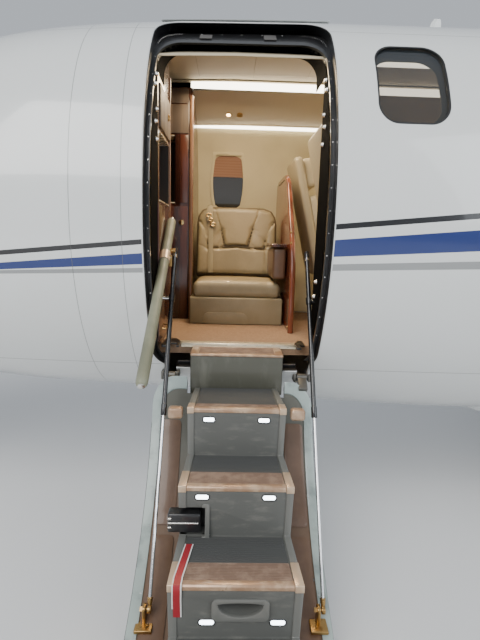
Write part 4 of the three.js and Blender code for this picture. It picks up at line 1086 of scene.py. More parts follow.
rim = prism("pocket_rim",
            rounded_outline(DOOR_X + POCKET["dx"] - 0.094, DOOR_X + POCKET["dx"] + 0.094,
                            POCKET["z"] - 0.046,
                                          POCKET["z"] + 0.037, 0.02, 8), "y", -pocket_u - 0.0035,
                                          -pocket_u + 0.012)
carve(rim, [pocket_saw(0.05)])
rim = round_edges(rim, 0.002, 2)
give(flare(merge("step_lights", lamps)), lamp_white, "entry_door")
give(flare(merge("step_light_bezels", bezels)), black_moulding, "entry_door")
give(flare(rim), cheek_grey, "entry_door")

# Door latch in its notch at the side of the second riser, with a grey surround and a bright bar.
latch_rim = prism("u", rounded_outline(DOOR_X + LATCH["dx1"] - 0.012, DOOR_X + LATCH["dx1"] + 0.018,
                                       LATCH["z0"] - 0.01,
                                         LATCH["z1"] + 0.016, 0.01, 6), "y", -latch_u + 0.002,
                                         -latch_u + 0.03)
carve(latch_rim, [latch_saw(0.1)])
well = soft_box("well", (DOOR_X + LATCH["dx0"] - 0.005, -latch_u + 0.066, LATCH["z0"]),
                (DOOR_X + LATCH["dx1"] - 0.001, -latch_u + 0.0745, LATCH["z1"] - 0.001), 0.001, 1)
housing = soft_box("housing", (DOOR_X - 0.262, -latch_u - 0.002, 0.55),
                   (DOOR_X - 0.135, -latch_u + 0.05, 0.628), 0.008, 3)
give(flare(round_edges(latch_rim, 0.003, 3)), cheek_grey, "entry_door")
give(flare(merge("door_latch_housing", [well, housing])), black_moulding, "entry_door")
bar = merge("door_latch_bar", [tube_path("bar", [at(dx, latch_u + 0.006, z) for dx in (-0.258, end)], r)
                               for end, z, r in ((-0.142, 0.594, 0.0038), (-0.246, 0.612, 0.005),
                                                 (-0.246, 0.576, 0.005))])
give(flare(bar), latch_metal, "entry_door")

# Red warning strip edged in white, laid down the third tread and over its nosing.
tape_red = Finish("red_marking_tape", (0.33, 0.02, 0.03), 0.4, grain=(300, 2, 0.0002))
tape_white = Finish("white_marking_tape", (0.75, 0.74, 0.72), 0.4)


def tape(name, half, lift):
    dx_top, dx_nose, dx_low = -0.172, -0.189, -0.190
    u, z = nosing(2)
    path = [(dx_top, u - 0.195, z), (dx_nose, u - 0.03, z), (dx_nose, u - 0.002, z + 0.002),
            (dx_nose, u + 0.002, z - 0.004),
            (dx_nose, u + 0.002, z - 0.027), (dx_low, u - 0.004, z - 0.05), (dx_low, u - 0.014, 0.396)]
    rows = [[at(dx + s * half, a + lift, b + 0.0076 + lift) if i < 2
             else at(dx + s * half, a + 0.0065 + lift, b + 0.004)
             for s in (-1, 1)] for i, (dx, a, b) in enumerate(path)]
    strip = add_piece(name, [p for row in rows for p in row],
                      [(2 * i, 2 * i + 1, 2 * i + 3, 2 * i + 2) for i in range(len(rows) - 1)])
    face_out(strip)
    thick = strip.modifiers.new("thick", "SOLIDIFY")
    thick.thickness, thick.offset = 0.0012, 0
    bake(strip)
    soften(strip, 50)
    return strip


for name, half, lift, finish in (("red_strip", 0.0115, 0.0009, tape_red),
                                 ("white_strip", 0.016, 0, tape_white)):
    give(flare(tape(name, half, lift)), finish, "entry_door")

# Top step: slides out from under the sill over the stair, with a tread and ribs painted tan and brown for
# warm cabin light, and an olive face.
step_face = Finish("olive_step_face", (0.085, 0.085, 0.066), 0.38, coat_weight=0.2)
face_wear = step_face.noise(5, 4, 0.6, (3, 1, 1))
step_face.set({"Base Color": step_face.mix(face_wear.ease(0.45, 0.7), (0.085, 0.085, 0.066),
                                           (0.125, 0.125, 0.1)),
               "Roughness": face_wear * 0.25 + 0.28})
TOP = {"u0": 0.5, "u1": 0.66, "low": 0.92, "high": 1.118, "half": 0.219}
block = prism("top_step_block",
              rounded_outline(DOOR_X - TOP["half"], DOOR_X + TOP["half"], -TOP["u1"] + 0.003, -TOP["u0"],
                              0.008, 6), "z",
              TOP["low"], TOP["high"] - 0.006)
round_edges(block, 0.003, 2)
give(block, step_face, "top_step", ["top_step"])
tread = round_edges(prism("top_step_tread",
                          rounded_outline(DOOR_X - TOP["half"] - 0.001, DOOR_X + TOP["half"] + 0.001,
                                          -TOP["u1"] - 0.003,
                                                            -TOP["u0"] - 0.002, 0.01, 6), "z",
                                                            TOP["high"] - 0.012, TOP["high"]), 0.004, 3)
carve(tread, [soft_box("saw", (DOOR_X - 0.185, -TOP["u1"] + 0.02, TOP["high"] - 0.003),
                       (DOOR_X + 0.185, -TOP["u0"] - 0.02, TOP["high"] + 0.02), 0.001, 1)])
soften(tread)
give(tread, nosing_warm_lit_tan, "top_step")
mat = repeat("top_step_ribs",
             [(Vector((DOOR_X, -u, TOP["high"] - 0.0022)), (0, 0, 1))
              for u in steps_between(0.526, 0.634, 0.009)],
             tread_warm_lit_brown, block_shape, {"Long": 0.36, "Wide": 0.005, "High": 0.003})
give(mat, tread_warm_lit_brown, "top_step")
guides = [tube_path("guide", [at(x, TOP["u0"] + 0.004, 1.045), at(x, 0.2, 1.045)], 0.0075, sides=16)
          for x in (-0.18, 0.18)]
give(merge("top_step_guides", guides), latch_metal, "top_step")

# Stair struts: black tubes that swing on trunnions in the jambs, polished rods with brass eyes.
strut_black = Finish("black_strut_paint", (0.014, 0.014, 0.015), 0.22, coat_weight=0.6,
                     wear=(30, 4, 0.2, 0.14))
chrome = Finish("polished_rod", (0.82, 0.82, 0.83), 0.12, metallic=1.0)
chrome.set({"Roughness": chrome.noise(70, 4, 0.6, (1, 1, 0.2)) * 0.22 + 0.03})
STRUT_TOP, STRUT_DOWN = (0.5, 1.6), (Vector(EYE) - Vector((0.5, 1.6))).normalized()


def turned_on(name, spots, side, up, sides):
    """A turned part through (place, radius), on a line square to `side` and `up`."""
    turns = [2 * math.pi * k / sides for k in range(sides)]
    return loft(name, [[p + (side * math.cos(t) + up * math.sin(t)) * r for t in turns] for p,
                       r in spots])


def along(dx, distance):
    u, z = Vector(STRUT_TOP) + STRUT_DOWN * distance
    return at(dx, u, z)


def turned(name, dx, profile, sides=24):
    """A turned part on a strut's line, through (distance, radius) points."""
    down = Vector((0, -STRUT_DOWN[0], STRUT_DOWN[1]))
    side = Vector((1, 0, 0))
    part = turned_on(name, [(along(dx, d), r) for d, r in profile], side, down.cross(side), sides)
    soften(part, 40)
    return part


TUBE_END, ROD_END = 0.802, (Vector(EYE) - Vector(STRUT_TOP)).length
for side, dx in STRUTS.items():
    tube = turned(f"strut_outer_tube_{side}", dx,
                  [(0, 0.0075), (0.001, 0.0105), (0.006, 0.0115), (0.03, 0.0115), (0.032, 0.0105),
                   (0.244, 0.0105),
                               (0.246, 0.0145), (0.278, 0.0145), (0.280, 0.0105),
                               (TUBE_END - 0.05, 0.0105),
                               (TUBE_END - 0.048, 0.0125), (TUBE_END - 0.004, 0.0125), (TUBE_END, 0.0105),
                               (TUBE_END + 0.0005, 0.0068)])
    give(tube, strut_black, f"strut_tube_{side}", [f"strut_tube_{side}"])
    collar = turned("collar", dx, [(0.036, 0.0106), (0.037, 0.0122), (0.049, 0.0122), (0.05, 0.0106)])
    stub_end = dx + (0.022 if dx > 0 else -0.07)
    pivot = [along(dx + (0.009 if dx > 0 else -0.009), 0.262), along(stub_end, 0.262)]
    give(merge(f"strut_fittings_{side}", [tube_path("stub", pivot, 0.0078, sides=20), collar]), chrome,
         f"strut_tube_{side}")
    rod = turned(f"strut_chrome_rod_{side}", dx, [(ROD_END - 0.799, 0.0064), (ROD_END - 0.03, 0.0064)])
    give(rod, chrome, f"strut_rod_{side}", [f"strut_rod_{side}"])
    ferrule = turned("ferrule", dx,
                     [(ROD_END - 0.033, 0.0066), (ROD_END - 0.032, 0.0098), (ROD_END - 0.022, 0.0098),
                      (ROD_END - 0.017, 0.0075),
                                     (ROD_END - 0.008, 0.0075)])
    ring = tube_path("eye", [at(dx - 0.0065, *EYE), at(dx + 0.0065, *EYE)], 0.0145, sides=32)
    carve(ring, [tube_path("saw", [at(dx - 0.02, *EYE), at(dx + 0.02, *EYE)], 0.0066, sides=24)])
    round_edges(ring, 0.0015, 2)
    locknut = turned("nut", dx, [(ROD_END - 0.0385, 0.0112), (ROD_END - 0.0335, 0.0112)], 6)
    give(merge(f"strut_eye_{side}", [ferrule, ring, locknut]), brass, f"strut_rod_{side}")

# Handrail: a padded bar that folds down from the cabinet side, with end caps, a stitched seam,
# a tan clamp round its pivot and a bright release knob.
RAIL = {"dx": -0.347, "from": Vector((0.34, 1.74)), "to": Vector((1.185, 1.13)), "radius": 0.0225}
# Painted shade: the padding's olive colours are darker than the bar's own, standing for the shadow it
# lies in.
pad_shaded_olive = Finish("olive_cream_padding", (0.36, 0.36, 0.26), 0.5)
pad_tint = pad_shaded_olive.noise(7, 4)
pad_shaded_olive.set({"Base Color": pad_shaded_olive.mix(pad_tint.ease(0.4, 0.7), (0.24, 0.245, 0.17),
                                           (0.17, 0.175, 0.12)),
               "Roughness": pad_tint * 0.2 + 0.38})
pad_shaded_olive.bump(pad_shaded_olive.noise(260, 3) + pad_shaded_olive.noise(30, 2), 0.0006)
rail_line = (RAIL["to"] - RAIL["from"]).normalized()
rail_long = (RAIL["to"] - RAIL["from"]).length


def rail_at(distance, out=0.0, dx=0.0):
    u, z = RAIL["from"] + rail_line * distance
    return at(RAIL["dx"] + dx, u - rail_line[1] * out, z + rail_line[0] * out)


def rail_part(name, profile):
    up = Vector((0, rail_line[1], rail_line[0]))
    part = turned_on(name, [(rail_at(d), r) for d, r in profile], Vector((1, 0, 0)), up, 28)
    soften(part, 40)
    return part


r = RAIL["radius"]
padding = rail_part("handrail_padding",
                    [(0.004, r * 0.6), (0.007, r * 0.85), (0.014, r * 0.97), (0.024, r)]
                    + [(d, r + 0.0003 * math.sin(9 * d))
                       for d in steps_between(0.05, rail_long - 0.05, 0.04)]
                    + [(rail_long - 0.024, r), (rail_long - 0.012, r * 0.96),
                       (rail_long - 0.004, r * 0.82), (rail_long, r * 0.55)])
give(padding, pad_shaded_olive, "handrail", ["handrail"])
stitches = repeat("handrail_stitches",
                  [(rail_at(d, -r - 0.0001), tuple(-Vector((0, rail_line[1], rail_line[0]))))
                                        for d in steps_between(0.03, rail_long - 0.03, 0.009)],
                  pad_shaded_olive, block_shape, {"Long": 0.0012, "Wide": 0.0055, "High": 0.0012})
give(stitches, pad_shaded_olive, "handrail")
end_caps = merge("handrail_end_caps",
                 [rail_part("cap", [(-0.004, r * 0.45), (-0.002, r * 0.66), (0.0045, r * 0.66)]),
                                       rail_part("cap", [(rail_long - 0.001, r * 0.6),
                                                         (rail_long + 0.003, r * 0.6),
                                                         (rail_long + 0.005, r * 0.42)])])
give(end_caps, latch_metal, "handrail")
PIVOT = (0.59 - 0.34) / rail_line[0]
clamp = rail_part("clamp", [(PIVOT - 0.03, r + 0.0002), (PIVOT - 0.029, r + 0.003),
                            (PIVOT + 0.029, r + 0.003), (PIVOT + 0.03, r + 0.0002)])
give(clamp, cap_tan, "handrail")
knob = tube_path("knob", [rail_at(PIVOT - 0.05, 0, 0.02), rail_at(PIVOT - 0.05, 0, 0.044)], 0.011,
                 sides=24)
round_edges(knob, 0.003, 3)
stalk = soft_box("stalk", rail_at(PIVOT, 0.014, 0.018), rail_at(PIVOT + 0.03, -0.03, 0.034), 0.005, 3)
give(merge("handrail_release", [knob, stalk]), brass, "handrail")
pin = tube_path("pin", [rail_at(PIVOT, 0, -0.03), rail_at(PIVOT, 0, 0.031)], 0.0085, sides=20)
give(pin, latch_metal)

# Cabin lining: a beige headliner with two lit coves over each side, and cream side walls with
# window cut-outs. The cove lamps and the lit reading light are part of the jet; warm area lights
# and a spot stand in for what they throw into the cabin.
LINING = {"x0": -4.5, "x1": 1.62, "inset": 0.056, "thick": 0.004}
COVES = [(0.0, 2.636), (0.30, 2.634), (0.300, 2.626), (0.318, 2.622), (0.318, 2.572), (0.306, 2.568),
         (0.575, 2.446),
         (0.585, 2.444), (0.590, 2.434), (0.602, 2.432)]
cream = Finish("cream_wall_lining", (0.52, 0.43, 0.27), 0.6)
cream_tint = cream.noise(3, 3)
cream.set({"Base Color": cream.mix(cream_tint.ease(0.4, 0.7), (0.62, 0.545, 0.35), (0.54, 0.47, 0.29))})
cream.bump(cream.noise(480, 3), 0.0004)
headliner = Finish("beige_headliner", (0.50, 0.43, 0.30), 0.65)
hx, hy = headliner.place()[:2]
panel_seam = headliner.level("ShaderNodeMath", {"operation": "MINIMUM"}, hx.wrap(0.33).line(0.165, 0.003),
                             abs(hy) < 0.26)
panel_seam = panel_seam.top(abs(hy).line(0.2, 0.003))
headliner.set({"Base Color": headliner.mix(panel_seam * 0.55, (0.50, 0.43, 0.30), (0.25, 0.2, 0.13))})
headliner.bump(headliner.noise(500, 3) - panel_seam * 4, 0.0005)
cove_light = Finish("cove_lamp", (1, 0.95, 0.82), 0.4, emission_strength=7.0,
                    emission_color=(1.0, 0.93, 0.78))


def lining_strip(name, profile):
    """A thin sheet inside the cabin whose (y, z) profile may depend on x."""
    rings = []
    for x in steps_between(LINING["x0"], LINING["x1"], 0.2):
        line = profile(x)
        outer = [(y + (LINING["thick"] if y >= 0 else -LINING["thick"]) * (z < 2.4),
                  z + LINING["thick"] * (z >= 2.4)) for y, z in line]
        rings.append([Vector((x, y, z)) for y, z in line + outer[::-1]])
    return loft(name, rings)


def wall_profile(side):
    return lambda x: [(side * skin_out(x, z, LINING["inset"]), z)
                      for z in steps_between(2.436, 1.131, 0.06)]


def ceiling(x):
    drop = max(0.0, 2.736 - station(x)[1])
    right = [(y, z - drop) for y, z in COVES]
    return [(-y, z) for y, z in right[:0:-1]] + right


roof = lining_strip("cabin_headliner", ceiling)
carve(roof, [box_tool(DOOR_X - 0.39, DOOR_X + 0.365, -1.0, -0.31, 1.0, 2.7)])
soften(roof, 50)
give(roof, headliner)
walls = []
for side in (-1, 1):
    wall = lining_strip("wall", wall_profile(side))
    centres = PORT_WINDOWS if side < 0 else [x for x in STARBOARD_WINDOWS if x > -3.9]
    tools = [prism("saw", rounded_outline(x - 0.135, x + 0.135, WINDOW["bottom"] + 0.012,
                                          WINDOW["top"] - 0.05, 0.08), "y",
                   *sorted((side * 0.5, side * 1.0))) for x in centres]
    if side < 0:
        tools.append(box_tool(DOOR_X - 0.39, DOOR_X + 0.365, -1.0, -0.31, 1.0, 2.7))
    else:
        tools.append(prism("saw", rounded_outline(-4.052, -3.826, 1.89, 2.252, 0.07), "y", 0.5, 1.0))
    carve(wall, tools)
    soften(wall, 50)
    walls.append(wall)
give(merge("cabin_side_lining", walls), cream)
lamps = []
for side, x0 in ((-1, -3.49), (1, -4.18)):
    for y0, y1, z0, z1 in ((0.309, 0.316, 2.577, 2.622), (0.592, 0.604, 2.412, 2.434)):
        lamps.append(soft_box("lamp", (x0, side * y0, z0), (1.6, side * y1, z1), 0.002, 1))
give(merge("cabin_cove_lamps", lamps), cove_light)

# The shade unit behind the side seat: a barrel-shaped frame, an opaque pane painted dark for the night
# outside, and a blind over its upper part whose warm colour is partly painted lamp light, with painted
# shade on its pleats.
UNIT = {"x0": -4.052, "x1": -3.826, "z0": 1.89, "z1": 2.252}


def barrel(grow, z0=UNIT["z0"]):
    middle, half, tall = (UNIT["x0"] + UNIT["x1"]) / 2, (UNIT["x1"] - UNIT["x0"]) / 2, (UNIT["z1"]
                                                                                        - UNIT["z0"])
    side = [(half * (0.80 + 0.20 * math.sin(math.pi * min(1, max(0, (z - UNIT["z0"]) / tall)))) + grow, z)
            for z in steps_between(z0 - grow, UNIT["z1"] + grow, 0.02)]
    return [(middle + w, z) for w, z in side] + [(middle - w, z) for w, z in reversed(side)]


def wall_patch(name, outline, outer, inner):
    patch = skin_tube(name, -4.2, -3.7, outer, inner, 0.05)
    carve(patch, [prism("saw", outline, "y", 0.4, 1.0)], "INTERSECT")
    return patch


unit_frame = wall_patch("side_window_frame", barrel(0.022), LINING["inset"] - 0.004,
                        LINING["inset"] + 0.007)
carve(unit_frame, [prism("saw", barrel(0.0), "y", 0.4, 1.0)])
give(round_edges(unit_frame, 0.002, 2), cream)
# Painted darkness: an opaque near-black pane stands for the night seen through the window.
pane_painted_night = Finish("dark_inner_pane", (0.02, 0.019, 0.016), 0.08, coat_weight=0.5, wear=(5, 2, 0.1, 0.03))
inner_pane = wall_patch("side_window_pane", barrel(0.004), LINING["inset"] - 0.012,
                        LINING["inset"] - 0.004)
give(inner_pane, pane_painted_night)
# The blind's warm brown is partly its own colour and partly painted warm lamp light; the colour ramp
# across each pleat is painted shade on the folds, while the bump raises them.
blind_warm_lit = Finish("warm_window_blind", (0.42, 0.2, 0.085), 0.55)
pleat_fold_and_shade = blind_warm_lit.place()[2].wrap(0.018) / 0.018
blind_warm_lit.set({"Base Color": blind_warm_lit.mix(pleat_fold_and_shade.ease(0.2, 0.8), (0.30, 0.165, 0.105),
                                             (0.34, 0.19, 0.125))})
blind_warm_lit.bump(pleat_fold_and_shade, 0.0012)
blind = wall_patch("side_window_blind", barrel(0.001, 2.112), LINING["inset"] - 0.004,
                   LINING["inset"] - 0.002)
give(blind, blind_warm_lit)
lens_glow = Finish("reading_light_lens", (1, 0.8, 0.5), 0.3, emission_strength=14.0,
                   emission_color=(1.0, 0.68, 0.34))
sockets, lenses = [], []
for x, y, lit in ((-3.944, 0.50, True), (-3.868, 0.50, False)):
    z = 2.446 + (0.575 - y) * (2.568 - 2.446) / (0.575 - 0.306)
    away = Vector((0, -0.413, -0.911))
    spot = Vector((x, y, z))
    cup = tube_path("cup", [spot - away * 0.004, spot + away * 0.007], 0.021, sides=28)
    carve(cup, [tube_path("saw", [spot + away * 0.001, spot + away * 0.03], 0.0155, sides=28)])
    sockets.append(round_edges(cup, 0.002, 2))
    lens = tube_path("lens", [spot + away * 0.0015, spot + away * 0.005], 0.0148, sides=28)
    (lenses if lit else sockets).append(lens)
give(merge("reading_light_bezels", sockets), brass)
give(merge("reading_light_lens", lenses), lens_glow)
beam = bpy.data.lights.new("reading_beam", "SPOT")
beam.energy, beam.color = 26, (1.0, 0.66, 0.36)
beam.spot_size, beam.spot_blend, beam.shadow_soft_size = 1.15, 0.9, 0.03
lamp_spot = linked("reading_beam", beam)
lamp_spot.location = (-3.93, 0.44, 2.40)
lamp_spot.rotation_euler = (Vector((-3.86, 0.02, 1.35))
                            - lamp_spot.location).to_track_quat("-Z", "Y").to_euler()
for name, place, size, power in (("cabin_glow", (-3.9, 0.05, 2.52), 0.5, 12),
                                 ("cabin_glow_aft", (-1.5, 0, 2.5), 1.5, 30),
                                 ("sill_glow", (-3.8, -0.3, 2.5), 0.3, 4.5)):
    area_light(name, place, size, min(size, 0.5), power, (1.0, 0.78, 0.5))

# Carpet over the CAD floor, with a bright sill plate along its edge and black corner mouldings.
carpet = Finish("warm_beige_carpet", (0.30, 0.19, 0.115), 0.92)
tuft = carpet.noise(900, 2) + carpet.noise(60, 3) * 0.5
carpet.set({"Base Color": carpet.mix(tuft.ease(0.5, 1.0), (0.25, 0.15, 0.09), (0.40, 0.27, 0.175))})
carpet.bump(tuft, 0.002)
SILL_Z = 1.1302
sill = prism("sill_plate",
             [(DOOR_X + x, -u) for x,
              u in ((-0.300, 0.462), (-0.278, 0.503), (0.300, 0.503), (0.322, 0.462))], "z",
             SILL_Z, SILL_Z + 0.0045)
lip = prism("sill_lip",
            [(-0.5035, SILL_Z + 0.0045), (-0.5065, SILL_Z + 0.0035), (-0.5065, SILL_Z - 0.018),
             (-0.5035, SILL_Z - 0.018)],
            "x", DOOR_X - 0.278, DOOR_X + 0.300)
sill_metal = Finish("bright_sill_plate", (0.85, 0.74, 0.54), 0.3, metallic=0.6)
sill_metal.set({"Roughness": sill_metal.noise(40, 3, 0.6, (0.1, 1, 1)) * 0.3 + 0.12})
give(merge("cabin_sill_plate", [round_edges(sill, 0.001, 1), round_edges(lip, 0.0008, 1)]), sill_metal)
corners = [prism("corner",
                 [(DOOR_X + s * 0.352 - 0.012, -0.6), (DOOR_X + s * 0.352 - 0.012, -0.44),
                  (DOOR_X + s * 0.31 + 0.006, -0.44),
                            (DOOR_X + s * 0.285 + 0.006, -0.503), (DOOR_X + s * 0.285 + 0.006, -0.6)],
                            "z", 1.131, 1.142) for s in (-1, 1)]
for corner in corners:
    carve(corner, [box_tool(DOOR_X + dx - 0.016, DOOR_X + dx + 0.016, -0.62, -0.54, 1.1, 1.2)
                   for dx in STRUTS.values()])
give(merge("sill_corner_mouldings", [round_edges(c, 0.003, 2) for c in corners]), black_moulding)

# Furniture by the door: a galley cabinet each side of the aisle with framed doors, an open niche
# and round latches, and the screen between the side seat and the cabin.
def wood(name, dark, light, gloss=0.16, coat=0.5):
    """Veneer under clear lacquer, its grain running up."""
    veneer = Finish(name, light, gloss, coat_weight=coat, coat_roughness=0.08)
    x, y, z = veneer.place()
    bend = veneer.noise(2.2, 4, 0.6, (1, 1, 0.25)) * 5
    grain = ((x + y) * 60 + bend).sine() * 0.5 + 0.5
    fine = veneer.noise(150, 3, 0.6, (1, 1, 0.05))
    veneer.set({"Base Color": veneer.mix((grain * 0.4 + fine * 0.6).ease(0.3, 0.72), dark, light),
                "Roughness": fine * 0.15 + gloss})
    veneer.bump(fine, 0.0002)
    return veneer


dark_wood = wood("dark_red_veneer", (0.03, 0.010, 0.007), (0.085, 0.026, 0.016))
red_wood = wood("red_edge_veneer", (0.11, 0.028, 0.014), (0.22, 0.06, 0.03))
grey_wood = wood("grey_brown_veneer", (0.06, 0.04, 0.028), (0.11, 0.078, 0.055), 0.5, 0.05)
trim_wood = wood("light_bevel_veneer", (0.16, 0.08, 0.045), (0.3, 0.165, 0.095))
niche_black = Finish("niche_lining", (0.008, 0.006, 0.006), 0.5, grain=(300, 2, 0.0002))
gold = Finish("gold_plated_fittings", (0.75, 0.53, 0.24), 0.2, metallic=1.0, wear=(60, 3, 0.25, 0.1))
PORT_CABINET = {"x0": -4.5548, "x1": -4.248, "y": -0.21, "top": 2.5}
STARBOARD_CABINET = {"x0": -4.5548, "x1": -4.160}


def inside_cabin(x0, x1):
    return skin_tube("saw", x0, x1, 0.062, None, SKIN_STEP / 2)


port_body = box_tool(PORT_CABINET["x0"], PORT_CABINET["x1"], -0.9, PORT_CABINET["y"], 1.1303,
                     PORT_CABINET["top"])
carve(port_body, [inside_cabin(-4.6, -4.2)], "INTERSECT")
carve(port_body, [box_tool(-4.44, -4.2, -0.545, -0.232, 1.82, 2.125),
                  box_tool(-4.30, -4.2, -0.86, -0.585, 1.44, 1.68)])
round_edges(port_body, 0.002, 2)
starboard_body = box_tool(STARBOARD_CABINET["x0"], STARBOARD_CABINET["x1"], 0.21, 0.9, 1.1303, 2.56)
carve(starboard_body, [inside_cabin(-4.6, -4.1)], "INTERSECT")
carve(starboard_body,
      [prism("saw", [(0.2, 2.56 - 0.012), (0.318, 2.56 - 0.012), (0.96, 2.268), (0.96, 2.7), (0.2, 2.7)],
             "x", -4.6, -4.1),
                       box_tool(-4.40, -4.268, 0.15, 0.42, 1.87, 2.27)])
round_edges(starboard_body, 0.002, 2)
give(merge("galley_cabinets", [port_body, starboard_body]), dark_wood,
     replaces=["forward_cabinet_port", "forward_cabinet_starboard"])
fronts, lower_fronts, trims, shelves = [], [], [], []
px1, sx1 = PORT_CABINET["x1"], STARBOARD_CABINET["x1"]
fronts += [soft_box("front", (px1 - 0.002, -0.55, 2.145), (px1 + 0.008, -0.218, 2.33), 0.003, 2),
           soft_box("front", (-4.54, 0.204, 2.285), (-4.185, 0.212, 2.452), 0.003, 2),
           soft_box("front", (-4.54, 0.204, 2.458), (-4.185, 0.212, 2.54), 0.003, 2)]
lower_fronts += [soft_box("front", (px1 - 0.002, -0.62, 1.16), (px1 + 0.008, -0.218, 1.80), 0.003, 2),
                 soft_box("front", (-4.54, 0.204, 1.16), (-4.185, 0.212, 1.85), 0.003, 2),
                 soft_box("front", (-4.262, 0.204, 1.87), (-4.185, 0.212, 2.275), 0.003, 2)]
trims += [prism("trim", rounded_outline(sx1 - 0.018, sx1 + 0.007, 0.1985, 0.236, 0.009, 6), "z", 1.1305,
                2.5),
          prism("trim", rounded_outline(px1 - 0.012, px1 + 0.009, -0.2165, -0.2025, 0.006, 6), "z",
                1.1305, 2.46)]
for x0, x1, y0, y1, z in ((-4.43, px1 + 0.003, -0.545, -0.232, 1.8175),
                          (-4.43, px1 + 0.003, -0.545, -0.232, 2.122),
                          (-4.40, -4.268, 0.206, 0.42, 1.868), (-4.40, -4.268, 0.206, 0.42, 2.268)):
    shelves.append(soft_box("shelf", (x0, y0, z), (x1, y1, z + 0.005), 0.0015, 2))
linings = [box_tool(-4.4395, -4.436, -0.545, -0.232, 1.82, 2.12),
           box_tool(-4.40, -4.268, 0.415, 0.419, 1.87, 2.27),
           box_tool(-4.4395, px1 - 0.001, -0.2335, -0.2322, 1.824, 2.12),
           box_tool(-4.4, -4.397, 0.212, 0.419, 1.875, 2.27)]
give(merge("galley_upper_doors", fronts), grey_wood)
give(merge("galley_lower_doors", lower_fronts), dark_wood)
give(merge("galley_corner_trims", [round_edges(t, 0.001, 1) for t in trims]), trim_wood)
give(merge("galley_shelf_edges", shelves), sill_metal)
give(merge("galley_niche_linings", linings), niche_black)
latches = []
for spot, way in ((Vector((px1 + 0.008, -0.30, 2.243)), Vector((1, 0, 0))),
                  (Vector((px1 + 0.008, -0.30, 1.70)), Vector((1, 0, 0))),
                  (Vector((-4.225, 0.204, 1.75)), Vector((0, -1, 0)))):
    latches += [round_edges(tube_path("ring", [spot, spot + way * 0.004], 0.017, sides=28), 0.0012, 2),
                round_edges(tube_path("button", [spot + way * 0.003, spot + way * 0.009], 0.010,
                                      sides=24), 0.002, 2)]
latches.append(tube_path("pull", [Vector((px1 + out, y, 1.205)) for out, y in
                                  ((0.006, -0.52), (0.022, -0.51), (0.022, -0.41), (0.006, -0.40))],
                                  0.0035))
give(merge("galley_latches", latches), gold)

# The screen's free edge sweeps down in an S and carries a rounded red wood capping.
SCREEN = {"x0": DOOR_X + 0.300, "x1": DOOR_X + 0.325}
sweep = [(0.36, 2.06), (0.27, 2.055), (0.20, 2.03), (0.14, 1.985), (0.085, 1.92), (0.03, 1.84),
         (-0.03, 1.76), (-0.09, 1.68),
         (-0.14, 1.60), (-0.175, 1.52), (-0.188, 1.43), (-0.19, 1.34), (-0.19, 1.1305)]
screen = prism("screen", [(0.86, 1.1305), (0.86, 2.06)] + sweep, "x", SCREEN["x0"] + 0.004,
               SCREEN["x1"] - 0.004)
carve(screen, [inside_cabin(-3.7, -3.4)], "INTERSECT")
soften(screen)
give(screen, red_wood, replaces=["cabin_partition"])
edge_line = [(0.66, 2.06)] + sweep
rings = []
for k, (y, z) in enumerate(edge_line):
    before, after = Vector(edge_line[max(0, k - 1)]), Vector(edge_line[min(len(edge_line) - 1, k + 1)])
    way = (after - before).normalized()
    out = Vector((-way.y, way.x))
    if out.dot(Vector((-0.7, 0.7))) < 0:
        out = -out
    section = [(SCREEN["x0"] - 0.003, -0.016), (SCREEN["x0"] - 0.003, 0.006),
               (SCREEN["x0"] + 0.004, 0.013),
               (SCREEN["x1"] - 0.004, 0.013), (SCREEN["x1"] + 0.003, 0.006),
               (SCREEN["x1"] + 0.003, -0.016)]
    rings.append([Vector((sx, y + out.x * o, z + out.y * o)) for sx, o in section])
capping = round_edges(loft("capping", rings), 0.003, 2, 40)
give(capping, red_wood)
ledge = soft_box("ledge", (SCREEN["x0"] - 0.095, -0.02, 1.612), (SCREEN["x0"] - 0.004, 0.40, 1.634),
                 0.006, 3)
give(ledge, dark_wood)
pocket_pad = soft_box("pad", (SCREEN["x0"] - 0.085, 0.0, 1.42), (SCREEN["x0"] - 0.006, 0.39, 1.610), 0.02,
                      4)
give(pocket_pad, pad_brown)
screen_pins = merge("screen_fittings",
                    [tube_path("pin", [Vector((SCREEN["x0"] - 0.006, y, z)),
                                       Vector((SCREEN["x0"] + 0.002, y, z))], r)
                                        for y, z, r in ((-0.14, 1.70, 0.007), (-0.168, 1.64, 0.009),
                                                        (-0.165, 1.16, 0.006))])
give(screen_pins, gold)

# Side seat behind the door: leather over foam. Each sewn panel and the cushion is filled like a
# real one, by a short cloth simulation under pressure, then seams, belt and plinth are added.
leather = Finish("olive_tan_leather", (0.33, 0.26, 0.15), 0.42, coat_weight=0.15)
hide = leather.noise(5, 4, 0.55)
pores = leather.noise(700, 2)
creases = leather.noise(38, 5, 0.62, (1, 1, 0.45))
leather.set({"Base Color": leather.mix(hide.ease(0.35, 0.7), (0.25, 0.2, 0.11), (0.31, 0.25, 0.15)),
             "Roughness": hide * 0.2 + 0.32})
leather.bump(pores * 0.25 + creases * 0.9, 0.0016)
seam_leather = Finish("dark_seam_leather", (0.12, 0.088, 0.048), 0.6, grain=(500, 2, 0.0003))
webbing = Finish("belt_webbing", (0.34, 0.29, 0.19), 0.7)
weave = webbing.place()[2].wrap(0.004) / 0.004 + webbing.place()[0].wrap(0.003) / 0.003
webbing.bump(weave, 0.0004)


FILL_PRESSURE, FILL_FRAMES = 4.0, 20


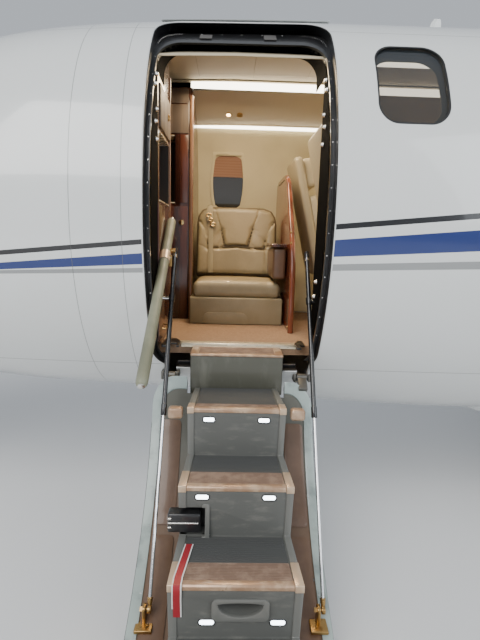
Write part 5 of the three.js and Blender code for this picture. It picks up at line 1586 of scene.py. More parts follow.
def plump(piece, cap, voxel=0.007):
    """Fills a sewn shape: evened by a remesh, blown up as cloth by no more than `cap`, smoothed
    and refined."""
    even = piece.modifiers.new("even", "REMESH")
    even.mode, even.voxel_size = "VOXEL", voxel
    bake(piece)
    start = [v.co.copy() for v in piece.data.vertices]
    cloth = piece.modifiers.new("filling", "CLOTH")
    cloth.settings.use_pressure = True
    cloth.settings.uniform_pressure_force = FILL_PRESSURE
    cloth.settings.effector_weights.gravity = 0
    for step in range(1, FILL_FRAMES + 1):
        bpy.context.scene.frame_set(step)
    bake(piece)
    bpy.context.scene.frame_set(1)
    for v, origin in zip(piece.data.vertices, start):
        move = v.co - origin
        if move.length > cap:
            v.co = origin + move * (cap / move.length)
    relax = piece.modifiers.new("relax", "SMOOTH")
    relax.factor, relax.iterations = 0.5, 6
    finer = piece.modifiers.new("finer", "SUBSURF")
    finer.levels = finer.render_levels = 1
    bake(piece)
    soften(piece, 180)
    return piece


SEAT_X = -3.868
BACK_FOOT, LEAN = Vector((SEAT_X, 0.445, 1.4035)), Vector((0, 0.095, 0.49)).normalized()
FACE = Vector((0, -LEAN.z, LEAN.y))


def on_back(across, high, out):
    return BACK_FOOT + Vector((across, 0, 0)) + LEAN * high + FACE * out


def back_panel(outline, low, high, mirror=False):
    if mirror:
        outline = [(-a, h) for a, h in outline]
    return loft("panel", [[on_back(a, h, out) for a, h in outline] for out in (low, high)])


BACK_OUTLINE = [(-0.281, 0.0), (0.281, 0.0), (0.281, 0.37), (0.272, 0.425), (0.245, 0.468), (0.19, 0.488),
                (-0.19, 0.488),
                (-0.245, 0.468), (-0.272, 0.425), (-0.281, 0.37)]
back_shell = round_edges(back_panel(BACK_OUTLINE, -0.115, -0.019), 0.012, 3)
give(back_shell, seam_leather)
UPPER = [(-0.152, 0.482), (-0.081, 0.2165), (0, 0.2175), (0.081, 0.2165), (0.152, 0.482), (0, 0.486)]
SHOULDER = [(-0.161, 0.482), (-0.19, 0.480), (-0.238, 0.464), (-0.264, 0.426), (-0.272, 0.398),
            (-0.230, 0.330), (-0.207, 0.260),
            (-0.198, 0.196), (-0.15, 0.203), (-0.091, 0.2095)]
BOLSTER = [(-0.277, 0.383), (-0.277, 0.006), (-0.207, 0.006), (-0.209, 0.19), (-0.217, 0.26),
           (-0.239, 0.328)]
LUMBAR = [(-0.199, 0.006), (-0.200, 0.184), (-0.1, 0.1975), (0, 0.2045), (0.1, 0.1975), (0.200, 0.184),
          (0.199, 0.006)]
panels = merge("side_seat_back_panels",
               [back_panel(UPPER, -0.030, -0.004), back_panel(SHOULDER, -0.030, -0.007),
                back_panel(SHOULDER, -0.030, -0.007, True),
                back_panel(BOLSTER, -0.030, 0.000), back_panel(BOLSTER, -0.030, 0.000, True),
                back_panel(LUMBAR, -0.030, 0.002)])
plump(panels, 0.008, 0.0055)
give(panels, leather, replaces=["side_seat_back"])
seams = [[(-0.2425, 0.333), (-0.213, 0.26), (-0.2035, 0.19), (-0.203, 0.01)],
         [(-0.1565, 0.484), (-0.086, 0.2135)]]
piping = []
for line in seams:
    for mirror in (1, -1):
        piping.append(tube_path("piping", [on_back(a * mirror, h, -0.011) for a, h in line], 0.0022))
piping.append(tube_path("piping",
                        [on_back(a, h, -0.010) for a,
                         h in ((-0.2, 0.190), (-0.1, 0.2035), (0, 0.211), (0.1, 0.2035), (0.2, 0.190))],
                         0.0022))
give(merge("side_seat_piping", piping), seam_leather)

cushion = soft_box("side_seat_pad", (SEAT_X - 0.277, 0.033, 1.298), (SEAT_X + 0.277, 0.430, 1.388), 0.026,
                   5)
plump(cushion, 0.010, 0.008)
for v in cushion.data.vertices:
    crown = max(0.0, 1 - ((v.co.x - SEAT_X) / 0.30) ** 2) * max(0.0, 1 - ((v.co.y - 0.22) / 0.32) ** 2)
    v.co.z += 0.010 * crown * max(0.0, (v.co.z - 1.34) / 0.05)
give(cushion, leather, replaces=["side_seat_cushion"])
rows = [(Vector((SEAT_X + a, 0.0225, 1.3135)), (0, -1, 0)) for a in steps_between(-0.235, 0.235, 0.0075)]
give(repeat("side_seat_stitches", rows, seam_leather, block_shape,
            {"Long": 0.0048, "Wide": 0.0012, "High": 0.0016}),
     seam_leather)
plinth = soft_box("side_seat_plinth", (SEAT_X - 0.287, 0.037, 1.1306), (SEAT_X + 0.287, 0.443, 1.2985),
                  0.010, 4)
give(plinth, leather, replaces=["side_seat_base"])
hatch = prism("hatch", rounded_outline(DOOR_X - 0.205, DOOR_X + 0.075, 1.09, 1.205, 0.045, 10), "y",
              0.0325, 0.041)
carve(hatch, [box_tool(-5, -3, 0, 1, 1.0, 1.134)])
give(round_edges(hatch, 0.003, 3), leather)


def ribbon(name, spine, wide, thick):
    """A flat strap along a line of (place, width direction)."""
    rings = []
    for k, (place, across) in enumerate(spine):
        way = (spine[min(k + 1, len(spine) - 1)][0] - spine[max(k - 1, 0)][0]).normalized()
        out = way.cross(across).normalized()
        rings.append([place + across * w + out * t for w, t in
                      ((-wide / 2, -thick / 2), (wide / 2, -thick / 2), (wide / 2, thick / 2),
                       (-wide / 2, thick / 2))])
    return round_edges(loft(name, rings), thick * 0.4, 2, 40)


side_way = Vector((1, 0, 0))
belt_path = [(on_back(a, h, out), side_way) for a, h, out in
             ((-0.188, 0.49, -0.06), (-0.188, 0.4955, -0.02), (-0.187, 0.484, 0.006),
              (-0.186, 0.44, 0.012), (-0.184, 0.36, 0.0125),
              (-0.181, 0.26, 0.0125), (-0.179, 0.15, 0.014), (-0.178, 0.06, 0.0145),
              (-0.178, 0.015, 0.0135))]
belt = ribbon("side_seat_belt", belt_path, 0.034, 0.0022)
fold = ribbon("belt_fold", [(on_back(a, h, out), side_way) for a, h, out in
                            ((-0.192, 0.478, 0.011), (-0.193, 0.44, 0.018), (-0.190, 0.395, 0.022),
                             (-0.186, 0.372, 0.019))], 0.040, 0.003)
strap = merge("side_seat_belt", [belt, fold])
give(strap, webbing)
buckles = []
for a, h, size in ((-0.196, 0.415, 0.017), (-0.182, 0.385, 0.013), (-0.166, 0.352, 0.016)):
    turns = [2 * math.pi * k / 20 for k in range(20)]
    buckles.append(tube_path("loop", [on_back(a + size * math.cos(t), h + size * 0.75 * math.sin(t),
                                              0.0255) for t in turns], 0.0035, True))
buckles.append(soft_box("plate", on_back(-0.19, 0.366, 0.020), on_back(-0.155, 0.341, 0.027), 0.003, 2))
give(merge("side_seat_buckle", buckles), gold)

# Club and crew seats: padded cushions filled like the side seat's, on a hard shell with arm
# boxes. Each of the two widths is filled once and copied to its places, each on its own foot.
SIDE = {"foot": Vector((0.458, 1.452)), "head": Vector((0.634, 2.204))}


def club_parts(half):
    """The padded and the hard parts of one seat that faces -X, about its own middle."""
    pads = [soft_box("pad", (0.012 - 0.3, -half + 0.055, 1.356), (0.405 - 0.3, half - 0.055, 1.440),
                     0.022, 4)]
    lean = (SIDE["head"] - SIDE["foot"]).normalized()
    front = Vector((-lean.y, lean.x))

    def slab(low, high, y0, y1, out0, out1):
        ring = rounded_outline(y0, y1, low, high, 0.035, 5)
        return loft("slab", [[Vector((SIDE["foot"].x - 0.3 + lean.x * h + front.x * o, y,
                                      SIDE["foot"].y + lean.y * h + front.y * o))
                              for y, h in ring] for o in (out0, out1)])

    pads += [slab(0.005, 0.230, -half + 0.058, half - 0.058, -0.05, 0.004),
             slab(0.240, 0.520, -half + 0.050, half - 0.050, -0.05, -0.002),
             slab(0.560, 0.755, -half + 0.085, half - 0.085, -0.05, 0.010)]
    hard = [round_edges(slab(0.0, 0.765, -half + 0.035, half - 0.035, -0.105, -0.052), 0.02, 4)]
    for s in (-1, 1):
        pads.append(soft_box("arm", (0.03 - 0.3, s * (half - 0.001), 1.52),
                             (0.43 - 0.3, s * (half - 0.05), 1.565), 0.014, 3))
        hard.append(soft_box("side", (0.04 - 0.3, s * (half - 0.004), 1.345),
                             (0.42 - 0.3, s * (half - 0.046), 1.518), 0.010, 3))
    hard.append(soft_box("pan", (0.01 - 0.3, -half + 0.05, 1.343), (0.45 - 0.3, half - 0.05, 1.353),
                         0.003, 2))
    return merge("pads", pads), merge("hard", hard)


club_leather = Finish("cream_seat_leather", (0.46, 0.40, 0.28), 0.42, coat_weight=0.1,
                      cloud=(6, 4, 0.35, 0.7, (0.44, 0.38, 0.26), (0.52, 0.46, 0.33)))
club_leather.bump(club_leather.noise(600, 2) * 0.3 + club_leather.noise(34, 4), 0.0012)
shell_leather = Finish("tan_seat_shell", (0.36, 0.31, 0.21), 0.45, coat_weight=0.1,
                       grain=(420, 3, 0.0006))
for half, seats, floor_z, drop in (
        (0.235, [("club_seat_forward_port", -3.09, -0.42, -1),
                 ("club_seat_forward_starboard", -3.09, 0.42, -1),
                 ("club_seat_aft_port", -1.65, -0.42, 1), ("club_seat_aft_starboard", -1.65, 0.42, 1)],
                 1.1303, 0),
        (0.220, [("crew_seat_port", -5.06, -0.31, 1), ("crew_seat_starboard", -5.06, 0.31, 1)], 1.0853,
         0.04)):
    pads, hard = club_parts(half)
    plump(pads, 0.006, 0.008)
    for name, x, y, turn in seats:
        for kind, source, finish in (("pads", pads, club_leather), ("shell", hard, shell_leather)):
            copy = linked(f"{name}_{kind}", source.data.copy())
            copy.data.transform(Matrix.Translation((x, y, -drop)) @ Matrix.Rotation(0 if turn > 0
                                                                                    else math.pi, 4, "Z"))
            if kind == "shell":
                foot = soft_box("foot", (x - 0.17, y - half + 0.075, floor_z),
                                (x + 0.17, y + half - 0.075, 1.3425 - drop), 0.02, 4)
                copy = merge(copy.name, [copy, foot])
            give(copy, finish, replaces=[name] if kind == "pads" else ())
            kind == "pads"
    bpy.data.objects.remove(pads)
    bpy.data.objects.remove(hard)

# The rest of the inside: the aft bulkhead, an instrument panel with three displays, and the
# carpeted floor, which is the hard frame's own.
bulkhead_box = box_tool(1.6403, 1.66, -1, 1, 1.131, 2.7)
carve(bulkhead_box, [inside_cabin(1.4, 1.9)], "INTERSECT")
soften(bulkhead_box)
give(bulkhead_box, red_wood, replaces=["aft_bulkhead"])
panel_grey = Finish("dark_panel_moulding", (0.03, 0.03, 0.032), 0.5, grain=(300, 3, 0.0003))
panel_front = prism("panel", [(-5.85, 1.645), (-5.563, 1.645), (-5.523, 1.898), (-5.562, 1.926),
                              (-5.85, 1.926)], "y", -0.9, 0.9)
carve(panel_front, [skin_tube("saw", -5.95, -5.4, 0.07, None, 0.05)], "INTERSECT")
give(round_edges(panel_front, 0.006, 3), panel_grey, replaces=["instrument_panel"])
screen_glow = Finish("display_glass", (0.01, 0.012, 0.016), 0.1, emission_strength=0.6)
screen_height = screen_glow.place()[2]
screen_glow.set({"Emission Color": screen_glow.mix(screen_height > 1.78, (0.12, 0.07, 0.03),
                                                   (0.03, 0.1, 0.22))})
displays = []
for y in (-0.36, 0.0, 0.36):
    tilt = (1.898 - 1.645) / (5.563 - 5.523)
    displays.append(loft("display", [[Vector((-5.563 + (z - 1.645) / tilt + off, b, z)) for b, z in
                                      rounded_outline(y - 0.125, y + 0.125, 1.70, 1.87, 0.012, 4)]
                                      for off in (0.0, 0.004)]))
give(merge("instrument_displays", displays), screen_glow)
floor_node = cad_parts["floor"]
floor_node.data.materials.clear()
floor_node.data.materials.append(carpet.material)

# Wings, tail and their hinged surfaces: smooth skins over the same sections as the hard frame,
# with bare metal leading edges, rib seams, static wicks and position lights.
SIDES = (("port", -1), ("starboard", 1))
CHORD = [0.5 - 0.5 * math.cos(math.pi * k / 22) for k in range(23)]


def half_thickness(c):
    return 5 * (0.2969 * math.sqrt(c) - 0.126 * c - 0.3516 * c ** 2 + 0.2843 * c ** 3 - 0.1036 * c ** 4)


def section(place, chord, thick, up):
    """One cross-section of a wing; `up` is (y, z) of the way its thickness points."""
    return {"at": Vector(place), "chord": chord, "thick": thick, "up": Vector((0, *up))}


def between(a, b, t):
    return {"at": a["at"].lerp(b["at"], t), "chord": a["chord"] * (1 - t) + b["chord"] * t,
            "thick": a["thick"] * (1 - t) + b["thick"] * t, "up": a["up"].lerp(b["up"], t)}


def section_ring(s, grow=0.0):
    def point(c, sign):
        half = max(s["chord"] * s["thick"] * half_thickness(c), 0.003 if c > 0.02 else 0)
        return s["at"] + Vector((s["chord"] * c, 0, 0)) + s["up"] * sign * (half + grow)
    return [point(c, 1) for c in CHORD[::-1]] + [point(c, -1) for c in CHORD[1:]]


def lifting(name, sections, parts=4, grow=0.0):
    rings = [section_ring(between(a, b, k / parts), grow) for a,
             b in zip(sections, sections[1:]) for k in range(parts)]
    return loft(name, rings + [section_ring(sections[-1], grow)])


def hinge_line(a, b, low, high, share):
    ends = []
    for t in (low, high):
        s = between(a, b, t)
        ends.append((s["at"] + Vector((s["chord"] * share, 0, 0)),
                     s["chord"] * s["thick"] * half_thickness(share) - 0.001))
    return ends


def cone(name, a, b, ra, rb, sides=24):
    way = (b - a).normalized()
    side = way.orthogonal().normalized()
    return turned_on(name, ((a, ra), (b, rb)), side, way.cross(side), sides)


def behind(line, thickness, shrink):
    (a, _), (b, _) = line
    way = (b - a).normalized()
    aft = thickness.cross(way).normalized()
    aft *= math.copysign(1, aft.x)
    return loft("saw", [[p + aft * reach + thickness * s for reach,
                         s in ((0, 0.26), (0.9, 0.26), (0.9, -0.26), (0, -0.26))]
                        for p in (a + way * shrink, b - way * shrink)])


def hinged(name, sections, line, thickness, finish, node):
    """One control surface: the part behind its hinge line, with a round nose and hinge pins."""
    (a, ra), (b, rb) = line
    way = (b - a).normalized()
    body = lifting(name, sections)
    carve(body, [behind(line, thickness, 0.005)], "INTERSECT")
    nose = cone("nose", a + way * 0.005, b - way * 0.005, ra, rb, 32)
    pin = cone("pin", a - way * 0.04, b + way * 0.04, 0.009, 0.009, 16)
    whole = merge(name, [body, nose, pin])
    soften(whole, 28)
    give(whole, finish, node, [node])


def pocketed(piece, line, thickness):
    (a, ra), (b, rb) = line
    carve(piece, [behind(line, thickness, 0.0)])
    carve(piece, [cone("saw", a, b, ra + 0.007, rb + 0.007, 32)])


def chord_share(root, tip):
    """How far back from the leading edge each point of a straight tapered panel is."""
    spread = tip["at"].y - root["at"].y

    def share(x, y, z):
        if abs(spread) > 0.1:
            out = (abs(y) - abs(root["at"].y)) / abs(spread)
        else:
            out = (z - root["at"].z) / (tip["at"].z - root["at"].z)
        front = x - root["at"].x - out * (tip["at"].x - root["at"].x)
        return front / (out * (tip["chord"] - root["chord"]) + root["chord"])

    return share


def wing_sections(s):
    return [section((-1.25, s * 0.7, 0.85), 3.15, 0.13, (0, 1)),
            section((1.38, s * 7.42, 1.2), 1.0, 0.11, (0, 1)),
            section((1.56, s * 7.69, 1.26), 0.86, 0.1, (-s * 0.5, 0.87)),
            section((1.76, s * 7.83, 1.48), 0.72, 0.08, (-s, 0.2)),
            section((2.18, s * 7.935, 2.18), 0.43, 0.08, (-s, 0.1))]


def tail_sections(s):
    return [section((5.95, 0, 4.955), 1.4, 0.1, (0, 1)),
            section((7.084, s * 2.64, 4.995), 0.736, 0.09, (0, 1))]


FIN = [section((4.05, 0, 2.28), 2.6, 0.1, (1, 0)), section((5.88, 0, 4.95), 1.4, 0.1, (1, 0))]
RIBS = [1.15, 2.1, 3.3, 4.4, 5.5, 6.6, 7.35]
wing_paint = gloss_paint("wing_paint", seams=(("y", RIBS + [-y for y in RIBS]),),
                         chord=chord_share(*wing_sections(1)[:2]))
tail_paint = gloss_paint("tailplane_paint", seams=(("y", [0.5, -0.5, 1.4, -1.4, 2.3, -2.3]),),
                         chord=chord_share(*tail_sections(1)))
fin_paint = gloss_paint("fin_paint", seams=(("z", [3.1, 3.8, 4.5]),), chord=chord_share(*FIN))
control_paint = gloss_paint("control_surface_paint",
                            seams=(("y", [1.6, -1.6, 3.1, -3.1, 5.4, -5.4, 6.2, -6.2]),))
UP = Vector((0, 0, 1))
tips, wicks = {}, []
tail_halves = []
for side, s in SIDES:
    sections = wing_sections(s)
    flap = hinge_line(sections[0], sections[1], 0.08, 0.55, 0.76)
    aileron = hinge_line(sections[0], sections[1], 0.60, 0.95, 0.76)
    curved = sections[:2] + [between(sections[1], sections[2], 0.5)] + sections[2:]
    wing = lifting(f"wing_skin_{side}", curved, 6)
    for line in (flap, aileron):
        pocketed(wing, line, UP)
    carve(wing, [skin_tube("saw", -3, 5, 0.003, None, 0.25)])
    soften(wing, 28)
    give(wing, wing_paint, replaces=[f"wing_{side}"])
    hinged(f"flap_skin_{side}", sections[:2], flap, UP, control_paint, f"flap_{side}")
    hinged(f"aileron_skin_{side}", sections[:2], aileron, UP, control_paint, f"aileron_{side}")
    jack = soft_box("jack_pad", (0.25, s * 2.55, 0.77), (0.35, s * 2.65, 0.86), 0.004, 2)
    give(jack, latch_metal)
    tail = tail_sections(s)
    elevator = hinge_line(tail[0], tail[1], 0.08, 0.95, 0.7)
    half = lifting(f"tailplane_skin_{side}", tail, 6)
    pocketed(half, elevator, UP)
    tail_halves.append(half)
    hinged(f"elevator_skin_{side}", tail, elevator, UP, tail_paint, f"elevator_{side}")
    for share in (0.66, 0.74, 0.82, 0.9):
        at_wing = between(sections[0], sections[1], share)
        end = at_wing["at"] + Vector((at_wing["chord"] * 0.997, 0, 0))
        wicks.append((side, tube_path("wick", [end, end + Vector((0.11, 0, -0.004))], 0.0022)))
    lens = between(sections[2], sections[3], 0.55)
    tips[side] = soft_box("lens", lens["at"] + Vector((-0.002, -0.014, -0.035)),
                          lens["at"] + Vector((0.06, 0.014, 0.045)), 0.012, 4)
tailplane_skin = merge("tailplane_skin", tail_halves)
soften(tailplane_skin, 28)
give(tailplane_skin, tail_paint, replaces=["tailplane"])


def curve_through(points, steps=5):
    """A smooth line through points in a plane."""
    last = len(points) - 1
    line = []
    for k in range(last):
        p = [Vector(points[min(max(i, 0), last)]) for i in (k - 1, k, k + 1, k + 2)]
        for j in range(steps):
            t = j / steps
            line.append(tuple(0.5 * (2 * p[1] + (p[2] - p[0]) * t
                                     + (2 * p[0] - 5 * p[1] + 4 * p[2] - p[3]) * t ** 2
                                     + (3 * p[1] - p[0] - 3 * p[2] + p[3]) * t ** 3)))
    return line + [tuple(points[-1])]


def spin(name, profile, centre, axis="x", sides=64, closed=False):
    """A profile of (radius, distance) turned about an axis through `centre`."""
    turns = [2 * math.pi * k / sides for k in range(sides)]
    spots = {"x": lambda r, d, t: (d, r * math.cos(t), r * math.sin(t)), "y": lambda r, d,
             t: (r * math.cos(t), d, r * math.sin(t)),
             "z": lambda r, d, t: (r * math.cos(t), r * math.sin(t), d)}
    rings = [[Vector(centre) + Vector(spots[axis](max(r, 0.0004), d, t)) for t in turns] for r,
             d in profile]
    return loft(name, rings + (rings[:1] if closed else []), caps=not closed)


BULLET = [(0.0, 5.65), (0.06, 5.73), (0.105, 5.9), (0.135, 6.25), (0.14, 6.7), (0.11, 7.2), (0.055, 7.55),
          (0.0, 7.64)]
bullet = spin("tail_bullet", curve_through(BULLET), (0, 0, 4.955), "x", 48)
soften(bullet)
give(bullet, trim_paint)
fin = lifting("fin_skin", FIN, 6)
rudder_line = hinge_line(FIN[0], FIN[1], 0.16, 0.86, 0.72)
pocketed(fin, rudder_line, Vector((0, 1, 0)))
carve(fin, [skin_tube("saw", 1.95, 6.55, 0.004, None, 0.25)])
soften(fin, 28)
give(fin, fin_paint, replaces=["fin"])
hinged("rudder_skin", FIN, rudder_line, Vector((0, 1, 0)), fin_paint, "rudder")
wick_metal = Finish("static_wick_black", (0.02, 0.02, 0.02), 0.5)
for side in tips:
    own = [piece for name, piece in wicks if name == side]
    give(merge(f"static_wicks_{side}", own), wick_metal, f"aileron_{side}")
red_lens = Finish("red_position_light", (0.5, 0.01, 0.01), 0.1, alpha=0.85, coat_weight=0.6,
                  emission_strength=0.8, emission_color=(1.0, 0.05, 0.03))
green_lens = Finish("green_position_light", (0.01, 0.35, 0.06), 0.1, alpha=0.85, coat_weight=0.6,
                    emission_strength=0.8, emission_color=(0.05, 1.0, 0.25))
for side, finish in (("port", red_lens), ("starboard", green_lens)):
    give(tips[side], finish)
    tips[side].name = f"position_light_{side}"

# Belly fairing: one smooth shell round the wing roots, open where the fuselage passes through it.
FAIRING = {"x0": -2.5, "x1": 3.1, "half": 0.95, "bottom": 0.615, "top": 1.18}
shape = curve_through([(0, 0.25, 0.12), (0.06, 0.7, 0.6), (0.18, 0.97, 0.95), (0.35, 1, 1), (0.65, 1, 1),
                       (0.82, 0.93, 0.9),
                       (0.94, 0.62, 0.55), (1, 0.3, 0.1)], 4)
squash = lambda value: math.copysign(abs(value) ** 0.6, value)
rings = []
for along_share, wide, deep in shape:
    x = FAIRING["x0"] + along_share * (FAIRING["x1"] - FAIRING["x0"])
    ring = []
    for k in range(96):
        a = 2 * math.pi * k / 96
        rise = FAIRING["top"] - 0.9 if math.sin(a) > 0 else 0.2 + (0.7 - FAIRING["bottom"]) * min(deep, 1)
        ring.append(Vector((x, squash(math.cos(a)) * FAIRING["half"] * min(wide, 1),
                            0.9 + squash(math.sin(a)) * rise)))
    rings.append(ring)
fairing = loft("belly_fairing_skin", rings)
carve(fairing, [skin_tube("saw", -3, 5, 0.002, None, 0.2)])
soften(fairing, 28)
fairing_paint = gloss_paint("fairing_paint", seams=(("x", [-1.6, -0.6, 0.5, 1.6, 2.4]),))
give(fairing, fairing_paint, replaces=["belly_fairing"])

# Engines: spun aluminium cowls with polished intake lips on short pylons, a fan of twisted titanium
# blades round a painted spinner, and a dark core with its guide vanes and exhaust cone.
NACELLE = {"x": 2.6, "y": 1.32, "z": 2.35}
COWL = [(0.352, 0.015), (0.372, 0.0), (0.395, 0.01), (0.425, 0.07), (0.448, 0.22), (0.46, 0.6),
        (0.458, 1.3), (0.42, 2.0),
        (0.352, 2.6)]
DUCT = [(0.335, 2.6), (0.362, 2.0), (0.365, 1.2), (0.362, 0.4), (0.345, 0.12)]
CORE = [(0.0, 0.47), (0.15, 0.47), (0.185, 0.62), (0.19, 1.5), (0.15, 2.2), (0.105, 2.45), (0.02, 2.7),
        (0.0, 2.7)]
FAN = {"x": 0.36, "radius": 0.354, "hub": 0.11, "depth": 0.07, "blades": 22}


def ring_of(piece, name, count, centre, finish):
    """Copies of one shape, set round an axis along X."""
    def build(nodes, links, start):
        points, place = nodes.new("GeometryNodePoints"), nodes.new("GeometryNodeInstanceOnPoints")
        spin_each, index = nodes.new("GeometryNodeRotateInstances"), nodes.new("GeometryNodeInputIndex")
        share, scale = nodes.new("ShaderNodeMath"), nodes.new("ShaderNodeMath")
        turn = nodes.new("ShaderNodeVectorMath")
        share.operation, scale.operation, turn.operation = "DIVIDE", "MULTIPLY", "SCALE"
        turn.inputs[0].default_value = (1, 0, 0)
        scale.inputs[1].default_value = 2 * math.pi
        spin_each.inputs["Local Space"].default_value = False
        spin_each.inputs["Pivot Point"].default_value = centre
        for way_out, way_in in (
                (start.outputs["Count"], points.inputs["Count"]),
                (points.outputs[0], place.inputs["Points"]),
                (start.outputs["Given"], place.inputs["Instance"]), (index.outputs[0], share.inputs[0]),
                (start.outputs["Count"], share.inputs[1]), (share.outputs[0], scale.inputs[0]),
                (scale.outputs[0], turn.inputs["Scale"]), (turn.outputs[0], spin_each.inputs["Rotation"]),
                (place.outputs[0], spin_each.inputs["Instances"])):
            links.new(way_out, way_in)
        return spin_each

    copies(piece, build, {"Count": count}, "NodeSocketInt", finish)
    piece.name = name
    return piece


nacelle_paint = gloss_paint("nacelle_paint", seams=(("x", [2.95, 3.62, 4.35, 4.95]),),
                            bright=lambda x, y, z: (x < 2.66).top(x > 5.1))
titanium = Finish("fan_titanium", (0.42, 0.43, 0.45), 0.28, metallic=1.0)
grain = titanium.noise(90, 3)
titanium.set({"Roughness": grain * 0.14 + 0.22})
titanium.bump(grain, 0.00012)
spinner_grey = Finish("spinner_grey", (0.09, 0.095, 0.1), 0.35, coat_weight=0.3)
sooty = Finish("hot_section", (0.1, 0.09, 0.085), 0.45, metallic=0.9)
stain = sooty.noise(9, 4)
sooty.set({"Base Color": sooty.mix(stain, (0.05, 0.047, 0.045), (0.2, 0.165, 0.13)),
           "Roughness": stain * 0.25 + 0.35})
for side, s in SIDES:
    centre = (NACELLE["x"], s * NACELLE["y"], NACELLE["z"])
    outside, inside = curve_through(COWL, 5), curve_through(DUCT, 5)
    cowl = spin(f"nacelle_skin_{side}", outside + inside, centre, "x", 96, closed=True)
    pylon_at = [section((2.95, s * y, NACELLE["z"]), 2.0, 0.08, (0, 1)) for y in (0.35, 1.0)]
    pylon = lifting("pylon", pylon_at)
    carve(pylon, [skin_tube("saw", 1.9, 6.5, 0.003, None, 0.25),
                  spin("saw", [(0.0, -0.001)] + [(r - 0.005, d) for r, d in outside[6:]] + [(0.0, 2.6)],
                       centre, "x", 96)])
    whole = merge(cowl.name, [cowl, pylon])
    face_out(whole)
    soften(whole, 30)
    give(whole, nacelle_paint, replaces=[f"nacelle_{side}"])
    spots = []
    for distance in (2.95, 3.62, 4.35):
        for k in range(48):
            a = 2 * math.pi * k / 48
            r = next(p[0] for p in outside if p[1] >= distance - NACELLE["x"] + 0.02)
            spots.append((Vector((distance + 0.02, centre[1] + r * math.cos(a),
                                  centre[2] + r * math.sin(a))),
                          Vector((0, math.cos(a), math.sin(a)))))
    rivets = repeat(f"cowl_fasteners_{side}", spots, latch_metal, disc_shape(8),
                    {"Top": 0.003, "Bottom": 0.0042, "Height": 0.0012})
    give(rivets, latch_metal)

    blade_rings = []
    for k in range(9):
        t = k / 8
        reach = FAN["hub"] - 0.012 + t * (FAN["radius"] - FAN["hub"] + 0.012)
        twist, wide = math.radians(28 + 34 * t), 0.078 - 0.012 * (1 - t)
        sweep = 0.014 * math.sin(math.pi * t)
        ring = []
        for c, lift in ((-0.5, 0), (-0.25, 0.045), (0.05, 0.05), (0.3, 0.035), (0.5, 0), (0.3, -0.012),
                        (0.05, -0.014), (-0.25, -0.008)):
            a, b = c * wide, lift * wide
            ring.append(Vector(centre)
                        + Vector((FAN["x"] + a * math.cos(twist) - b * math.sin(twist) + sweep,
                                                 (a * math.sin(twist) + b * math.cos(twist)), reach)))
        blade_rings.append(ring)
    one = loft("blade", blade_rings)
    face_out(one)
    blades = ring_of(one, f"fan_blades_{side}", FAN["blades"], centre, titanium)
    soften(blades, 40)
    give(blades, titanium, f"fan_{side}", [f"fan_{side}"])
    nose = [(0.0, 0.17)] + [(FAN["hub"] * math.sin(a), FAN["x"] - 0.035 - 0.155 * math.cos(a))
                            for a in [math.pi * k / 24 for k in range(1, 12)]]
    spinner = spin(f"fan_spinner_{side}",
                   nose + [(FAN["hub"], FAN["x"] + FAN["depth"]), (0.03, FAN["x"] + FAN["depth"])],
                   centre, "x", 48)
    soften(spinner, 40)
    give(spinner, spinner_grey, f"fan_{side}")
    swirl = [Vector(centre) + Vector((FAN["x"] - 0.04 - 0.155 * math.cos(t * 0.46 * math.pi),
                                      FAN["hub"] * math.sin(t * 0.46 * math.pi) * math.cos(5.5 * t),
                                      FAN["hub"] * math.sin(t * 0.46 * math.pi) * math.sin(5.5 * t)))
                                      for t in [0.12 + 0.72 * k / 24 for k in range(25)]]
    give(tube_path(f"spinner_spiral_{side}", swirl, 0.0055, sides=8), tape_white,
         f"fan_{side}")
    core = spin(f"core_skin_{side}", curve_through(CORE, 4), centre, "x", 48)
    shaft = cone("shaft", Vector(centre) + Vector((FAN["x"] + 0.024, 0, 0)),
                 Vector(centre) + Vector((0.49, 0, 0)), 0.022, 0.022)
    vane_rings = [[Vector(centre) + Vector((0.9 + c, half * 0.012, reach)) for c, half in
                   ((-0.13, 0.1), (-0.1, 1), (0.05, 0.8), (0.13, 0.1), (0.13, -0.1), (0.05, -0.8),
                    (-0.1, -1), (-0.13, -0.1))]
                  for reach in (0.15, 0.3615)]
    vanes = ring_of(loft("vane", vane_rings), "vanes", 18, centre, sooty)
    core = merge(core.name, [core, shaft, vanes])
    face_out(core)
    soften(core, 35)
    give(core, sooty, replaces=[f"engine_core_{side}"])

# Landing gear: painted steel legs with chromed slides, braces and torque links, ribbed tyres on
# bolted alloy hubs, and the doors that close the bays.
gear_grey = Finish("gear_grey_enamel", (0.55, 0.56, 0.57), 0.35, coat_weight=0.35)
dust = gear_grey.noise(22, 4)
gear_grey.set({"Base Color": gear_grey.mix(dust, (0.48, 0.485, 0.49), (0.6, 0.61, 0.62)),
               "Roughness": dust * 0.2 + 0.3})
hub_alloy = Finish("wheel_hub_alloy", (0.62, 0.63, 0.64), 0.34, metallic=0.85)
cast = hub_alloy.noise(140, 2)
hub_alloy.set({"Roughness": cast * 0.18 + 0.28})
hub_alloy.bump(cast, 0.0006)
tyre_rubber = Finish("tyre_rubber", (0.022, 0.022, 0.023), 0.8, specular_ior_level=0.3)
scuff = tyre_rubber.noise(35, 5)
tyre_rubber.set({"Base Color": tyre_rubber.mix(scuff, (0.016, 0.016, 0.017), (0.04, 0.038, 0.036))})
tyre_rubber.bump(scuff, 0.001)


